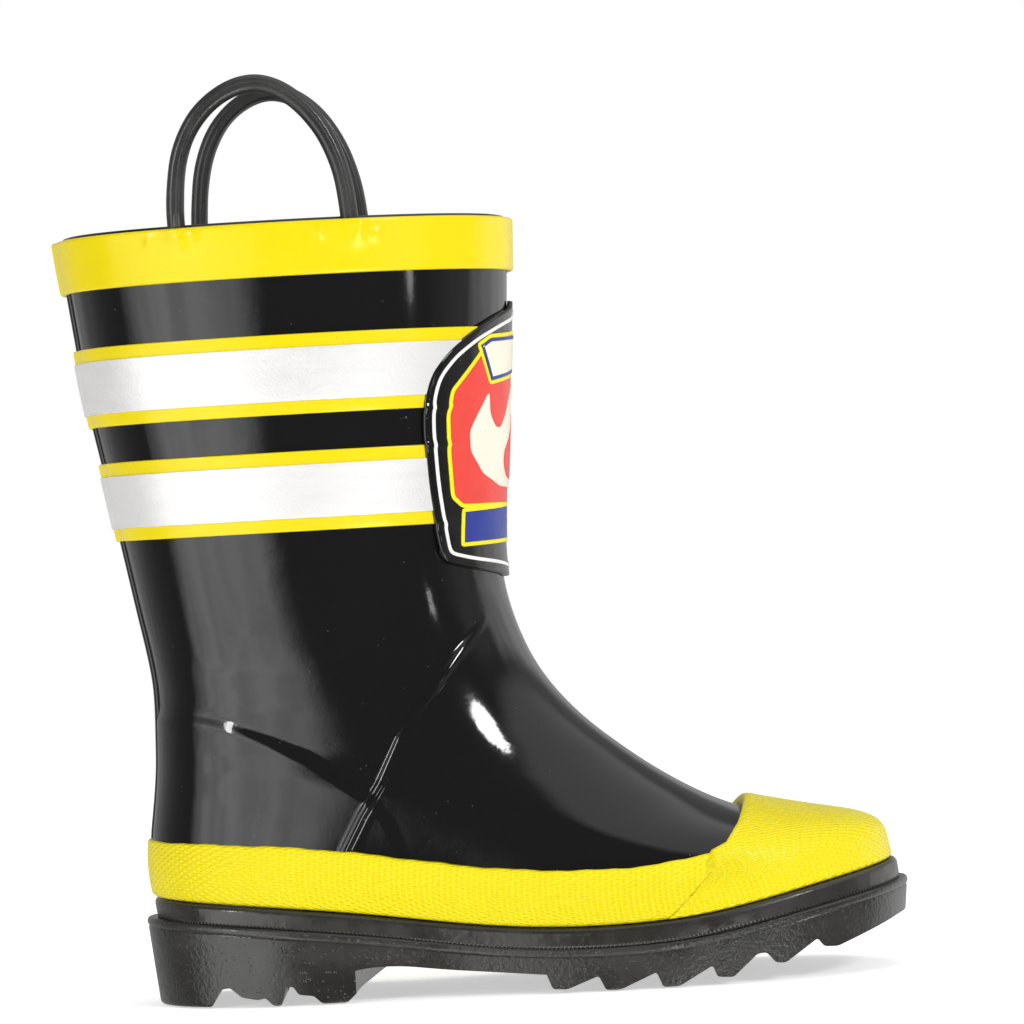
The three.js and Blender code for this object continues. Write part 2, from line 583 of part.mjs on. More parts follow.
// The loop's middle line: two straight legs and an elliptical arch.
class HandlePath extends THREE.Curve {
  constructor(side) {
    super();
    this.side = side;
  }

  getPoint(t, target = new THREE.Vector3()) {
    const legTop = HANDLE_AXIS_Z + HANDLE_LEG;
    const archShare = (t - HANDLE_LEG_SHARE) / (1 - 2 * HANDLE_LEG_SHARE);
    const angle = Math.PI * THREE.MathUtils.clamp(archShare, 0, 1);
    const middle = (HANDLE_BACK_X + HANDLE_FRONT_X) / 2;
    const reach = (HANDLE_FRONT_X - HANDLE_BACK_X) / 2;
    const legShare = Math.min(t, 1 - t) / HANDLE_LEG_SHARE;
    const z =
      legShare < 1
        ? THREE.MathUtils.lerp(HANDLE_AXIS_Z, legTop, legShare)
        : legTop + (HANDLE_TOP_Z - legTop) * Math.sin(angle);
    return target.set(middle - reach * Math.cos(angle), this.side * HANDLE_Y, z);
  }
}

function makeHandle(side) {
  const radius = HANDLE_SECTION / 2;
  const section = new THREE.Shape().absarc(0, 0, radius, 0, 2 * Math.PI);
  const loop = new THREE.ExtrudeGeometry(section, {
    curveSegments: 4,
    steps: 18,
    bevelEnabled: false,
    extrudePath: new HandlePath(side),
  });
  let solid = solidOf(loop);
  for (const x of [HANDLE_BACK_X, HANDLE_FRONT_X]) {
    const foot = new THREE.SphereGeometry(radius, 10, 8).translate(x, side * HANDLE_Y, HANDLE_AXIS_Z);
    solid = solid.add(solidOf(foot));
  }
  return solid;
}

addPiece("outer_handle", makeHandle(-1), SATIN_BLACK);
addPiece("inner_handle", makeHandle(1), SATIN_BLACK);

// The origin goes under the middle of the boot's box.
boot.updateMatrixWorld(true);
const middle = new THREE.Box3().setFromObject(boot).getCenter(new THREE.Vector3());
boot.position.set(-middle.x, -middle.y, 0);

export default boot;
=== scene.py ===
import math

import bpy
import numpy as np
from mathutils import Matrix, Vector
from mathutils.geometry import delaunay_2d_cdt


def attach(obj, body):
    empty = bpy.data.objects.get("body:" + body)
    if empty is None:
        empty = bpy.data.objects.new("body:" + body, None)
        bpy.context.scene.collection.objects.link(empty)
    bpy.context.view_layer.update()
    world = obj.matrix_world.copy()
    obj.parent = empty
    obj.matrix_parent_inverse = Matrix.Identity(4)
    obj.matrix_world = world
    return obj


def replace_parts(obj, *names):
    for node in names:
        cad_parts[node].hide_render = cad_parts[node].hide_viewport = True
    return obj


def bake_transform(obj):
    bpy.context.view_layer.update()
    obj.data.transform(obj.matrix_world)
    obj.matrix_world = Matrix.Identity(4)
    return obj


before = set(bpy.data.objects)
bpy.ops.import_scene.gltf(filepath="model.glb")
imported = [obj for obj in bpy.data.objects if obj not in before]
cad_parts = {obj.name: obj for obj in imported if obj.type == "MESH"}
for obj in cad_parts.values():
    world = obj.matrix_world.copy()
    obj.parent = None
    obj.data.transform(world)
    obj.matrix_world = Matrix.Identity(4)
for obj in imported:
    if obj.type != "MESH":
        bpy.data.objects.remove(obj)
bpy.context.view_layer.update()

# ---------- driving dimensions, in millimetres ----------
MM = 0.001
SHIFT_X = 0.288  # the CAD model's centring shift along X
RIM = 206.5
CUFF = (191.7, 205.9)  # heights of the cuff's edges
BANDS = {"upper": 166.0, "lower": 135.3}  # heights of the bands' middles
BAND_HALF = 10.5
TAPE_HALF = 7.0
UPPER_WALL = 2.6
FOOT_WALL = 1.2
LINING = (-3.9, -2.9)  # offsets from the skin
TRIM = (0.3, 2.3)
WELT = (0.3, 3.0)
STRIP_HALF = 4.0
WELT_TOP = 5.5  # above the outsole's lip
FOXING_EDGE = np.array(
    [(-105, 20.9), (-92, 20.9), (-51, 22.0), (-20, 21.4), (12, 20.6), (43, 20.2), (60, 20.7)]
)  # x, and height above the lip
HANDLE_RADIUS = 2.35
HANDLE_Y = 39.3

# ---------- the skin: the outer face of the black rubber ----------
# One row per key ring: back x z, front x z, half width, fullness of the back and the front, flare,
# waist of the outer and inner side, and how far the ring follows the sole's curve.
RINGS = np.array(
    [
        (-89.6, 17.6, 105.4, 18.0, 35.0, 4.6, 3.8, 0.12, 0.15, 0.26, 1.0),
        (-91.4, 30.0, 105.0, 28.0, 36.0, 4.4, 3.8, 0.11, 0.12, 0.20, 1.0),
        (-91.8, 38.0, 103.4, 34.2, 36.2, 4.0, 3.6, 0.09, 0.08, 0.13, 0.95),
        (-91.5, 45.0, 98.3, 39.4, 35.9, 3.6, 3.3, 0.07, 0.05, 0.08, 0.8),
        (-90.7, 51.0, 83.0, 42.8, 35.2, 3.3, 2.9, 0.06, 0.03, 0.04, 0.55),
        (-89.9, 57.0, 66.8, 46.3, 34.3, 3.0, 2.5, 0.04, 0.01, 0.02, 0.3),
        (-89.3, 63.0, 52.3, 51.9, 33.3, 2.8, 2.3, 0.02, 0.0, 0.0, 0.12),
        (-89.0, 69.0, 41.8, 57.9, 32.5, 2.6, 2.2, 0.01, 0.0, 0.0, 0.04),
        (-88.8, 75.0, 33.6, 63.7, 32.0, 2.5, 2.2, 0.0, 0.0, 0.0, 0.0),
        (-88.7, 80.5, 26.8, 69.5, 31.7, 2.4, 2.2, 0.0, 0.0, 0.0, 0.0),
        (-88.9, 86.0, 21.2, 75.3, 31.6, 2.4, 2.2, 0.0, 0.0, 0.0, 0.0),
        (-89.5, 91.0, 16.8, 80.9, 31.7, 2.3, 2.2, 0.0, 0.0, 0.0, 0.0),
        (-90.4, 96.5, 13.0, 87.2, 32.0, 2.3, 2.2, 0.0, 0.0, 0.0, 0.0),
        (-91.8, 104.0, 8.8, 98.0, 32.9, 2.3, 2.2, 0.0, 0.0, 0.0, 0.0),
        (-93.6, 114.0, 6.2, 110.5, 34.2, 2.3, 2.2, 0.0, 0.0, 0.0, 0.0),
        (-95.4, 124.0, 6.0, 122.5, 35.5, 2.3, 2.2, 0.0, 0.0, 0.0, 0.0),
        (-98.6, 142.0, 7.5, 141.5, 37.6, 2.3, 2.2, 0.0, 0.0, 0.0, 0.0),
        (-102.5, 163.0, 9.3, 163.0, 39.6, 2.3, 2.2, 0.0, 0.0, 0.0, 0.0),
        (-105.4, 185.0, 11.3, 185.0, 41.2, 2.3, 2.2, 0.0, 0.0, 0.0, 0.0),
        (-108.2, 206.5, 12.3, 206.5, 42.5, 2.3, 2.2, 0.0, 0.0, 0.0, 0.0),
        (-109.2, 214.0, 12.7, 214.0, 43.0, 2.3, 2.2, 0.0, 0.0, 0.0, 0.0),
    ]
)
LEVELS = (RINGS[:, 1] + RINGS[:, 3]) / 2  # a ring's level is the mean height of its ends
WAIST_AT = -0.3
WAIST_SPREAD = 0.34
TOE_INTURN = 3.0
SPARE_BELOW = 3.0
FEATHER_DROP = 2.0
LIP = np.array(
    [(-100, 23.8), (-65, 20.8), (-32, 16.9), (0, 12.6), (28, 11.3), (55, 13.0), (85, 18.7), (112, 23.4)]
)


def spline_slopes(x, y):
    """Slopes at the knots of the natural cubic spline through (x, y); y may have several columns."""
    n = len(x)
    h = np.diff(x)
    rise = (np.diff(y, axis=0).T / h).T
    system = np.zeros((n, n))
    right = np.zeros_like(y, dtype=float)
    for i in range(1, n - 1):
        system[i, i - 1 : i + 2] = (h[i], 2 * (h[i - 1] + h[i]), h[i - 1])
        right[i] = 3 * (h[i] * rise[i - 1] + h[i - 1] * rise[i])
    system[0, :2] = (2, 1)
    system[-1, -2:] = (1, 2)
    right[0] = 3 * rise[0]
    right[-1] = 3 * rise[-1]
    return np.linalg.solve(system, right)


def spline_at(x, y, slopes, at):
    """The spline's values at the given places, held straight beyond its ends."""
    i = np.clip(np.searchsorted(x, at) - 1, 0, len(x) - 2)
    h = x[i + 1] - x[i]
    u = (at - x[i]) / h
    many = y.ndim > 1
    hh = h[..., None] if many else h
    uu = u[..., None] if many else u
    inside = (
        (1 + 2 * uu) * (1 - uu) ** 2 * y[i]
        + uu * (1 - uu) ** 2 * hh * slopes[i]
        + uu**2 * (3 - 2 * uu) * y[i + 1]
        - uu**2 * (1 - uu) * hh * slopes[i + 1]
    )
    before = y[i] + uu * hh * slopes[i]
    after = y[i + 1] + (uu - 1) * hh * slopes[i + 1]
    return np.where(uu < 0, before, np.where(uu > 1, after, inside))


RING_SLOPES = spline_slopes(LEVELS, RINGS)
LIP_SLOPES = spline_slopes(LIP[:, 0].astype(float), LIP[:, 1])
FOXING_SLOPES = spline_slopes(FOXING_EDGE[:, 0], FOXING_EDGE[:, 1])


def lip_height(x):
    return spline_at(LIP[:, 0].astype(float), LIP[:, 1], LIP_SLOPES, np.asarray(x, float))


def foxing_top(x):
    """The height of the foxing's upper edge above the lip. It is a little wavy."""
    x = np.asarray(x, float)
    wave = 0.12 * np.sin(0.31 * x) + 0.07 * np.sin(0.83 * x + 1.0)
    return spline_at(FOXING_EDGE[:, 0], FOXING_EDGE[:, 1], FOXING_SLOPES, x) + wave


def fullness_curve(along, fullness):
    """A smooth stand-in for |along| ** fullness, so that reflections run evenly over the sides."""
    quartic = (0.49 - 0.7**fullness) / 0.25
    return (1 - quartic) * along**2 + quartic * along**4


def skin(level, angle):
    """Points of the skin, in millimetres. Angle 0 is the toe end, and the inner side comes next."""
    level, angle = np.broadcast_arrays(np.asarray(level, float), np.asarray(angle, float))
    ring = np.moveaxis(spline_at(LEVELS, RINGS, RING_SLOPES, level), -1, 0)
    back_x, back_z, front_x, front_z, half = ring[:5]
    back_full, front_full, flare, waist_out, waist_in, dip = ring[5:]
    along = np.cos(angle)
    side = np.sin(angle)
    t = (along + 1) / 2
    x = back_x + (front_x - back_x) * t
    blend_full = back_full + (front_full - back_full) / (1 + np.exp(-along * 6))
    waist = waist_out + (waist_in - waist_out) / (1 + np.exp(-side * 6))
    pinch = waist * np.exp(-(((along - WAIST_AT) / WAIST_SPREAD) ** 2))
    bulk = np.sqrt(np.maximum(1 - fullness_curve(along, blend_full), 0))
    y = np.sign(side) * half * bulk * (1 + flare * along - pinch)
    y = y + TOE_INTURN * dip * np.maximum(0, along) ** 2
    first = RINGS[0]
    straight = first[1] + (first[3] - first[1]) * (x - first[0]) / (first[2] - first[0])
    sole_dip = straight - (lip_height(x) - FEATHER_DROP) + SPARE_BELOW
    z = back_z + (front_z - back_z) * t - dip * sole_dip
    return np.stack([x, y, z], -1)


def skin_normal(level, angle):
    du = skin(level, np.asarray(angle) + 2e-3) - skin(level, np.asarray(angle) - 2e-3)
    dv = skin(np.asarray(level) + 0.2, angle) - skin(np.asarray(level) - 0.2, angle)
    n = np.cross(du, dv)
    return n / np.maximum(np.linalg.norm(n, axis=-1, keepdims=True), 1e-9)


def wall(level, angle, offset):
    offset = np.asarray(offset, float)
    return skin(level, angle) + skin_normal(level, angle) * offset[..., None]


def solve(rising, low, high, steps=34):
    """Where a rising function of the level crosses zero, for arrays of bounds."""
    low = np.array(low, float)
    high = np.array(high, float)
    for _ in range(steps):
        middle = (low + high) / 2
        over = rising(middle) > 0
        high = np.where(over, middle, high)
        low = np.where(over, low, middle)
    return (low + high) / 2


def level_at_height(angle, height):
    """The level where the skin reaches a height, at each angle."""
    angle = np.asarray(angle, float)
    ones = np.ones_like(angle)
    return solve(lambda t: skin(t, angle)[..., 2] - height, ones * LEVELS[0], ones * LEVELS[-1])


def level_above_lip(angle, above):
    """The level where the skin is a distance above the outsole's lip, at each angle.

    The distance is a number, or a function of x.
    """
    angle = np.asarray(angle, float)

    def rising(t):
        p = skin(t, angle)
        rise = above(p[..., 0]) if callable(above) else above
        return p[..., 2] - lip_height(p[..., 0]) - rise

    return solve(rising, np.ones_like(angle) * LEVELS[0], np.ones_like(angle) * 60)


def step_lengths(points):
    return np.linalg.norm(np.diff(points, axis=0), axis=1)


def running(steps):
    """The distance run at each point, from the lengths of the steps between them."""
    return np.concatenate([[0], np.cumsum(steps)])


def even_angles(n, level=40.0, start=0.0, end=2 * math.pi):
    """Angles that space points evenly along the skin at a level. A full ring leaves out its end."""
    fine = np.linspace(start, end, 2000)
    run = running(step_lengths(skin(level, fine)))
    full = abs(end - start - 2 * math.pi) < 1e-9
    want = np.linspace(0, run[-1], n + 1)[:-1] if full else np.linspace(0, run[-1], n)
    return np.interp(want, run, fine)


# ---------- meshes ----------
def new_object(name, data):
    made = bpy.data.objects.new(name, data)
    bpy.context.scene.collection.objects.link(made)
    return made


def add_mesh(name, points, faces, material, uvs=None):
    """A smooth-shaded object from points in millimetres of the skin's frame."""
    mesh = bpy.data.meshes.new(name)
    placed = (np.asarray(points, float) + (SHIFT_X, 0, 0)) * MM
    mesh.from_pydata(placed.tolist(), [], faces)
    if uvs is not None:
        layer = mesh.uv_layers.new(name="UVMap")
        loops = np.empty(len(mesh.loops), dtype=np.int64)
        mesh.loops.foreach_get("vertex_index", loops)
        layer.data.foreach_set("uv", np.asarray(uvs, float)[loops].ravel())
    mesh.polygons.foreach_set("use_smooth", [True] * len(mesh.polygons))
    mesh.update()
    mesh.materials.append(material)
    return new_object(name, mesh)


def grid_faces(rows, cols, wrap_rows=False, wrap_cols=False):
    """Faces of a grid whose vertex (i, j) is number i * cols + j."""
    i = np.arange(rows if wrap_rows else rows - 1)
    j = np.arange(cols if wrap_cols else cols - 1)
    ii, jj = np.meshgrid(i, j, indexing="ij")
    nj = (jj + 1) % cols
    ni = (ii + 1) % rows
    quads = np.stack([ii * cols + jj, ii * cols + nj, ni * cols + nj, ni * cols + jj], -1)
    return quads.reshape(-1, 4).tolist()


def closed_grid(name, points, material, uvs=None):
    """A piece from a grid of points that closes on itself both ways."""
    faces = grid_faces(*points.shape[:2], wrap_rows=True, wrap_cols=True)
    return add_mesh(name, points.reshape(-1, 3), faces, material, uvs)


def arc_lengths(points, axis):
    """Running distance along a grid's rows or columns."""
    steps = np.linalg.norm(np.diff(points, axis=axis), axis=-1)
    pad = np.zeros_like(np.take(steps, [0], axis=axis))
    return np.concatenate([pad, np.cumsum(steps, axis=axis)], axis=axis)


def rounded_edge(radius, high):
    turn = np.linspace(0, math.pi / 2, 6)
    return [(radius * (1 - math.cos(a)), high - radius * (1 - math.sin(a))) for a in turn]


def section(width, low, high, radii, rows, bulge=0.0):
    """A rounded band's section as (distance from its lower edge, offset): up the outside, down the inside."""
    below, above = (min(radius, (high - low) * 0.95) for radius in radii)
    lower = rounded_edge(below, high)
    upper = [(width - d, off) for d, off in reversed(rounded_edge(above, high))]
    middle = [
        (d, high + bulge * math.sin(math.pi * (d - below) / (width - below - above)))
        for d in np.linspace(below, width - above, rows + 2)[1:-1]
    ]
    return [(0, low)] + lower + middle + upper + [(width, low)]


def band(name, lower, upper, low, high, material, radii=(0.5, 0.5), rows=8, wrap=True, bulge=0.0, swell=None):
    """A rounded strip that lies on the skin between two edges, each given as (levels, angles)."""
    (t0, a0), (t1, a1) = lower, upper
    t0, a0, t1, a1 = np.broadcast_arrays(t0, a0, t1, a1)
    width = float(np.mean(np.linalg.norm(skin(t1, a1) - skin(t0, a0), axis=-1)))
    outline = section(width, low, high, radii, rows, bulge)
    share = np.array([d / width for d, _ in outline])[:, None]
    offset = np.array([off for _, off in outline])[:, None] * np.ones_like(t0)
    t = t0 + (t1 - t0) * share
    a = a0 + (a1 - a0) * share
    if swell is not None:
        offset = offset + swell(t, a) * (offset > low + 1e-6)
    points = wall(t, a, offset)
    n_rows, n_cols = t.shape
    faces = grid_faces(n_rows, n_cols, wrap_rows=True, wrap_cols=wrap)
    if not wrap:
        faces.append([i * n_cols for i in range(n_rows)])
        faces.append([i * n_cols + n_cols - 1 for i in reversed(range(n_rows))])
    along = arc_lengths(points, 1)
    middle_column = n_cols // 2
    along = along - along[:, middle_column : middle_column + 1]
    up = arc_lengths(points, 0)
    uvs = np.stack([along, up], -1).reshape(-1, 2)
    return add_mesh(name, points.reshape(-1, 3), faces, material, uvs)


# ---------- materials ----------
class Nodes:
    """A small hand for building a node tree."""

    def __init__(self, tree):
        self.tree = tree
        self.place = self.node("ShaderNodeTexCoord")

    def node(self, kind, **inputs):
        made = self.tree.nodes.new(kind)
        for socket, value in inputs.items():
            self.put(made.inputs[socket.replace("_", " ")], value)
        return made

    def put(self, socket, value):
        if isinstance(value, bpy.types.NodeSocket):
            self.tree.links.new(value, socket)
        else:
            socket.default_value = value

    def ramp(self, value, high_at, high, low_at, low):
        """Runs smoothly from one output, where the value is low_at, to another, where it is high_at."""
        made = self.node("ShaderNodeMapRange", Value=value)
        made.interpolation_type = "SMOOTHSTEP"
        made.inputs["From Min"].default_value = low_at
        made.inputs["From Max"].default_value = high_at
        made.inputs["To Min"].default_value = low
        made.inputs["To Max"].default_value = high
        return made.outputs["Result"]

    def math(self, operation, a, b=0.0):
        made = self.tree.nodes.new("ShaderNodeMath")
        made.operation = operation
        self.put(made.inputs[0], a)
        self.put(made.inputs[1], b)
        return made.outputs[0]

    def times(self, a, b):
        return self.math("MULTIPLY", a, b)

    def plus(self, a, b):
        return self.math("ADD", a, b)

    def mix(self, factor, a, b):
        made = self.tree.nodes.new("ShaderNodeMix")
        made.data_type = "RGBA"
        self.put(made.inputs["Factor"], factor)
        self.put(made.inputs[6], a)
        self.put(made.inputs[7], b)
        return made.outputs[2]


class Shader(Nodes):
    """A Principled material built out of nodes."""

    def __init__(self, name, **sockets):
        self.material = bpy.data.materials.new(name)
        self.material.use_nodes = True
        super().__init__(self.material.node_tree)
        self.bsdf = self.tree.nodes["Principled BSDF"]
        for socket, value in sockets.items():
            self.bsdf.inputs[socket.replace("_", " ")].default_value = value

    def noise(self, scale, detail=3.0, roughness=0.5, stretch=(1, 1, 1), coordinates="Object"):
        mapping = self.node("ShaderNodeMapping", Vector=self.place.outputs[coordinates], Scale=stretch)
        made = self.node("ShaderNodeTexNoise", Scale=scale, Detail=detail, Roughness=roughness)
        self.put(made.inputs["Vector"], mapping.outputs["Vector"])
        return made.outputs["Fac"]

    def spots(self, scale, size, share):
        """1 in the middle of small round spots, 0 elsewhere. Only a share of the cells hold a spot."""
        cells = self.node("ShaderNodeTexVoronoi", Vector=self.place.outputs["Object"], Scale=scale)
        parts = self.node("ShaderNodeSeparateColor", Color=cells.outputs["Color"])
        chosen = self.math("GREATER_THAN", parts.outputs["Red"], 1 - share)
        reach = self.times(self.plus(parts.outputs["Green"], 0.5), size)
        near = self.ramp(self.math("DIVIDE", cells.outputs["Distance"], reach), 1.0, 0.0, 0.4, 1.0)
        return self.times(near, chosen)

    def on_surface(self):
        """The distances along and up the piece's surface, in millimetres."""
        parts = self.node("ShaderNodeSeparateXYZ", Vector=self.place.outputs["UV"])
        return parts.outputs["X"], parts.outputs["Y"]

    def wave(self, distance, period):
        return self.math("COSINE", self.times(distance, 2 * math.pi / period))

    def colour(self, value):
        self.put(self.bsdf.inputs["Base Color"], value)

    def roughness(self, value):
        self.put(self.bsdf.inputs["Roughness"], value)

    def relief(self, *layers):
        """Bumps laid over one another, the lowest first, each as (height, distance, strength)."""
        under = None
        for height, distance, strength in layers:
            made = self.node("ShaderNodeBump", Height=height, Distance=distance, Strength=strength)
            if under is not None:
                self.put(made.inputs["Normal"], under)
            under = made.outputs["Normal"]
        self.put(self.bsdf.inputs["Normal"], under)


def rgb(r, g, b):
    return (r, g, b, 1.0)


def gloss_black(name, base=0.006, rough=(0.05, 0.11)):
    s = Shader(name, IOR=1.5)
    cloud = s.noise(38, 4)
    dust = s.math("MAXIMUM", s.spots(620, 0.11, 0.09), s.spots(240, 0.07, 0.10))
    s.colour(s.mix(s.times(dust, 0.35), rgb(base, base, base * 1.1), rgb(0.16, 0.16, 0.15)))
    s.roughness(s.plus(s.ramp(cloud, 0.75, rough[1], 0.25, rough[0]), s.times(dust, 0.3)))
    waves = (s.noise(9, 2), 0.0035, 0.35)
    dents = (s.noise(34, 2), 0.0006, 0.35)
    grain = (s.noise(260, 2), 0.00005, 0.5)
    s.relief(waves, dents, grain, (s.noise(1300, 2), 0.00001, 0.6))
    return s.material


def satin_black(name, base=0.014, rough=0.42, grain=700, depth=0.0001):
    s = Shader(name, IOR=1.5)
    cloud = s.noise(60, 5)
    s.colour(s.mix(cloud, rgb(base, base, base), rgb(base * 2.1, base * 2.05, base * 2)))
    s.roughness(s.ramp(cloud, 0.7, rough + 0.12, 0.3, rough - 0.1))
    s.relief((s.noise(grain, 4, 0.6), depth, 0.8), (s.noise(90, 3), 0.0006, 0.25))
    return s.material


def outsole_rubber(name):
    """Moulded rubber with satin patches and small pits, worn rough by the front lugs."""
    s = Shader(name, IOR=1.5)
    patches = s.noise(34, 5, 0.6, stretch=(1, 1, 1.6))
    pits = s.spots(900, 0.3, 0.5)
    rough_patches = s.ramp(s.noise(26, 2), 0.56, 1.0, 0.42, 0.25)
    x = s.node("ShaderNodeSeparateXYZ", Vector=s.place.outputs["Object"]).outputs["X"]
    worn = s.times(s.ramp(x, 0.056, 1.8, 0.046, 0.0), s.ramp(x, 0.084, 0.0, 0.070, 1.0))
    rough_patches = s.plus(rough_patches, worn)
    s.colour(s.mix(patches, rgb(0.010, 0.010, 0.010), rgb(0.038, 0.036, 0.034)))
    s.roughness(s.ramp(patches, 0.66, 0.34, 0.36, 0.13))
    grain = (s.times(s.noise(820, 3, 0.6), rough_patches), 0.00025, 0.8)
    holes = (s.times(pits, -1.0), 0.0001, 0.7)
    s.relief(grain, holes, (s.noise(120, 3), 0.0006, 0.35))
    return s.material


def welt_rubber(name):
    """Dull rubber, finely ribbed where it meets the outsole."""
    s = Shader(name, IOR=1.5)
    cloud = s.noise(90, 4)
    along, up = s.on_surface()
    ribbed = s.ramp(up, 3.6, 0.0, 3.0, 1.0)
    ribs = s.times(s.wave(along, 1.1), ribbed)
    s.colour(s.mix(cloud, rgb(0.014, 0.0135, 0.012), rgb(0.034, 0.032, 0.028)))
    s.roughness(s.ramp(cloud, 0.7, 0.4, 0.3, 0.14))
    s.relief((s.noise(700, 3), 0.00008, 0.6), (s.noise(150, 2), 0.0006, 0.5), (ribs, 0.0001, 0.8))
    return s.material


YELLOW = rgb(0.84, 0.765, 0.001)
YELLOW_DEEP = rgb(0.82, 0.725, 0.001)


def yellow_smooth(name):
    s = Shader(name, IOR=1.5, Specular_IOR_Level=0.32)
    cloud = s.noise(45, 4)
    dirt = s.spots(300, 0.1, 0.08)
    tone = s.mix(cloud, rgb(0.79, 0.65, 0.001), rgb(0.77, 0.615, 0.001))
    s.colour(s.mix(s.times(dirt, 0.35), tone, rgb(0.45, 0.33, 0.03)))
    s.roughness(s.ramp(cloud, 0.7, 0.30, 0.3, 0.17))
    creases = (s.noise(70, 3, stretch=(1, 1, 0.5)), 0.0005, 0.3)
    s.relief((s.noise(22, 2), 0.0015, 0.35), creases, (s.noise(500, 3), 0.00006, 0.4))
    return s.material


def yellow_knurled(name, pitch=(3.15, 1.65)):
    """Rubber with rows of small raised dots, set in a diamond pattern on the surface."""
    s = Shader(name, IOR=1.5, Specular_IOR_Level=0.3)
    along, up = s.on_surface()
    drift = s.times(s.noise(60, 2), 0.5)
    dots = s.times(s.wave(s.plus(along, drift), pitch[0]), s.wave(up, pitch[1]))
    cloud = s.noise(45, 4)
    tone = s.mix(cloud, YELLOW, YELLOW_DEEP)
    # Painted shade: the grooves between the dots are coloured a darker orange, as if shaded, and the dots
    # keep the plain yellow.
    groove = s.ramp(dots, 0.35, 1.0, -0.9, 0.0)
    s.colour(s.mix(groove, rgb(0.85, 0.64, 0.001), tone))
    s.roughness(s.ramp(s.noise(400, 2), 0.7, 0.42, 0.3, 0.2))
    s.relief((s.noise(60, 3), 0.0006, 0.3), (s.ramp(dots, 0.9, 1.0, -0.5, 0.0), 0.0003, 0.9))
    return s.material


def silver_tape(name):
    s = Shader(name, IOR=1.45, Metallic=0.4)
    cells = s.node("ShaderNodeTexVoronoi", Vector=s.place.outputs["Object"], Scale=1600)
    grain = cells.outputs["Distance"]
    streak = s.noise(60, 4, stretch=(1, 1, 6))
    s.colour(s.mix(streak, rgb(0.71, 0.705, 0.695), rgb(0.82, 0.815, 0.805)))
    s.roughness(s.ramp(grain, 0.6, 0.5, 0.1, 0.34))
    s.relief((grain, 0.00006, 0.7), (s.noise(30, 2), 0.001, 0.25))
    return s.material


def knit(name, base, pitch_mm=0.9):
    """Ribbed knitted cloth."""
    s = Shader(name, Roughness=0.95, IOR=1.4)
    s.bsdf.inputs["Sheen Weight"].default_value = 0.3
    along, up = s.on_surface()
    u = s.times(along, 2 * math.pi / pitch_mm)
    v = s.times(up, 2 * math.pi / (pitch_mm * 0.8))
    lean = s.times(s.math("ABSOLUTE", s.math("SINE", s.times(u, 0.5))), 2.2)
    loops = s.times(s.math("COSINE", u), s.math("COSINE", s.plus(v, lean)))
    fuzz = s.noise(900, 3)
    height = s.plus(loops, s.times(fuzz, 0.8))
    shade = s.ramp(height, 1.2, 1.0, -0.8, 0.0)
    s.colour(s.mix(shade, rgb(*(c * 0.45 for c in base)), rgb(*base)))
    s.relief((height, 0.00018, 0.9))
    return s.material


def printed(name, colour, rough=0.3):
    """Coloured rubber of the badge."""
    s = Shader(name, IOR=1.5, Specular_IOR_Level=0.15)
    cloud = s.noise(120, 3)
    darker = rgb(*(c * 0.82 for c in colour))
    s.colour(s.mix(cloud, rgb(*colour), darker))
    s.roughness(s.ramp(cloud, 0.7, rough + 0.08, 0.3, rough - 0.06))
    s.relief((s.noise(420, 3), 0.00005, 0.5))
    return s.material


def matt(name, colour, grain=500, depth=0.0002):
    """Foam, board and cloth plies that stay hidden in the walls."""
    s = Shader(name, Roughness=0.9)
    cloud = s.noise(grain, 4)
    s.colour(s.mix(cloud, rgb(*(c * 0.6 for c in colour)), rgb(*colour)))
    s.relief((cloud, depth, 0.7))
    return s.material


GLOSS = gloss_black("gloss_black_rubber")
SOLE = outsole_rubber("outsole_rubber")
WELT_RUBBER = welt_rubber("welt_rubber")
HANDLE_RUBBER = satin_black("handle_rubber", base=0.016, rough=0.36, grain=520, depth=0.00016)
SMOOTH_YELLOW = yellow_smooth("smooth_yellow_rubber")
KNURLED_YELLOW = yellow_knurled("knurled_yellow_rubber")
SILVER = silver_tape("reflective_silver")
LINING_KNIT = knit("lining_knit", (0.035, 0.035, 0.038))
FOOTBED_KNIT = knit("footbed_knit", (0.05, 0.05, 0.055), 1.4)

HIDDEN = {
    "heel_filler": (0.05, 0.045, 0.04),
    "sponge_filler": (0.07, 0.065, 0.06),
    "insole_board": (0.36, 0.27, 0.16),
    "heel_counter": (0.02, 0.02, 0.02),
    "vamp_ply": (0.02, 0.02, 0.02),
}
for node_name, colour in HIDDEN.items():
    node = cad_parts[node_name]
    node.data.materials.clear()
    node.data.materials.append(matt(node_name + "_matt", colour))


def on_boot(piece, slot_name, *nodes):
    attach(piece, "boot")
    if nodes:
        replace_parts(piece, *nodes)
    return piece


# ---------- upper ----------
# The raised edges of the inner plies, as [x, z] in the side view.
COUNTER_EDGE = [
    (-120, 80.5), (-92, 79.6), (-83.4, 79.2), (-74.3, 77.6), (-67.8, 75.7), (-57.5, 71.6), (-47.2, 66.6),
    (-37.1, 59.2), (-30.7, 54.3), (-25.8, 47.5), (-23.0, 39), (-21.5, 30),
]
VAMP_EDGE = [
    (3.5, 103), (-2.1, 95), (-7.7, 88.7), (-18.1, 76.1), (-23.3, 68.5), (-29.2, 56.9), (-34.4, 49.3),
    (-39.4, 40.4), (-44, 32),
]
RIM_ROUND = 1.3  # the radius of the upper's rim


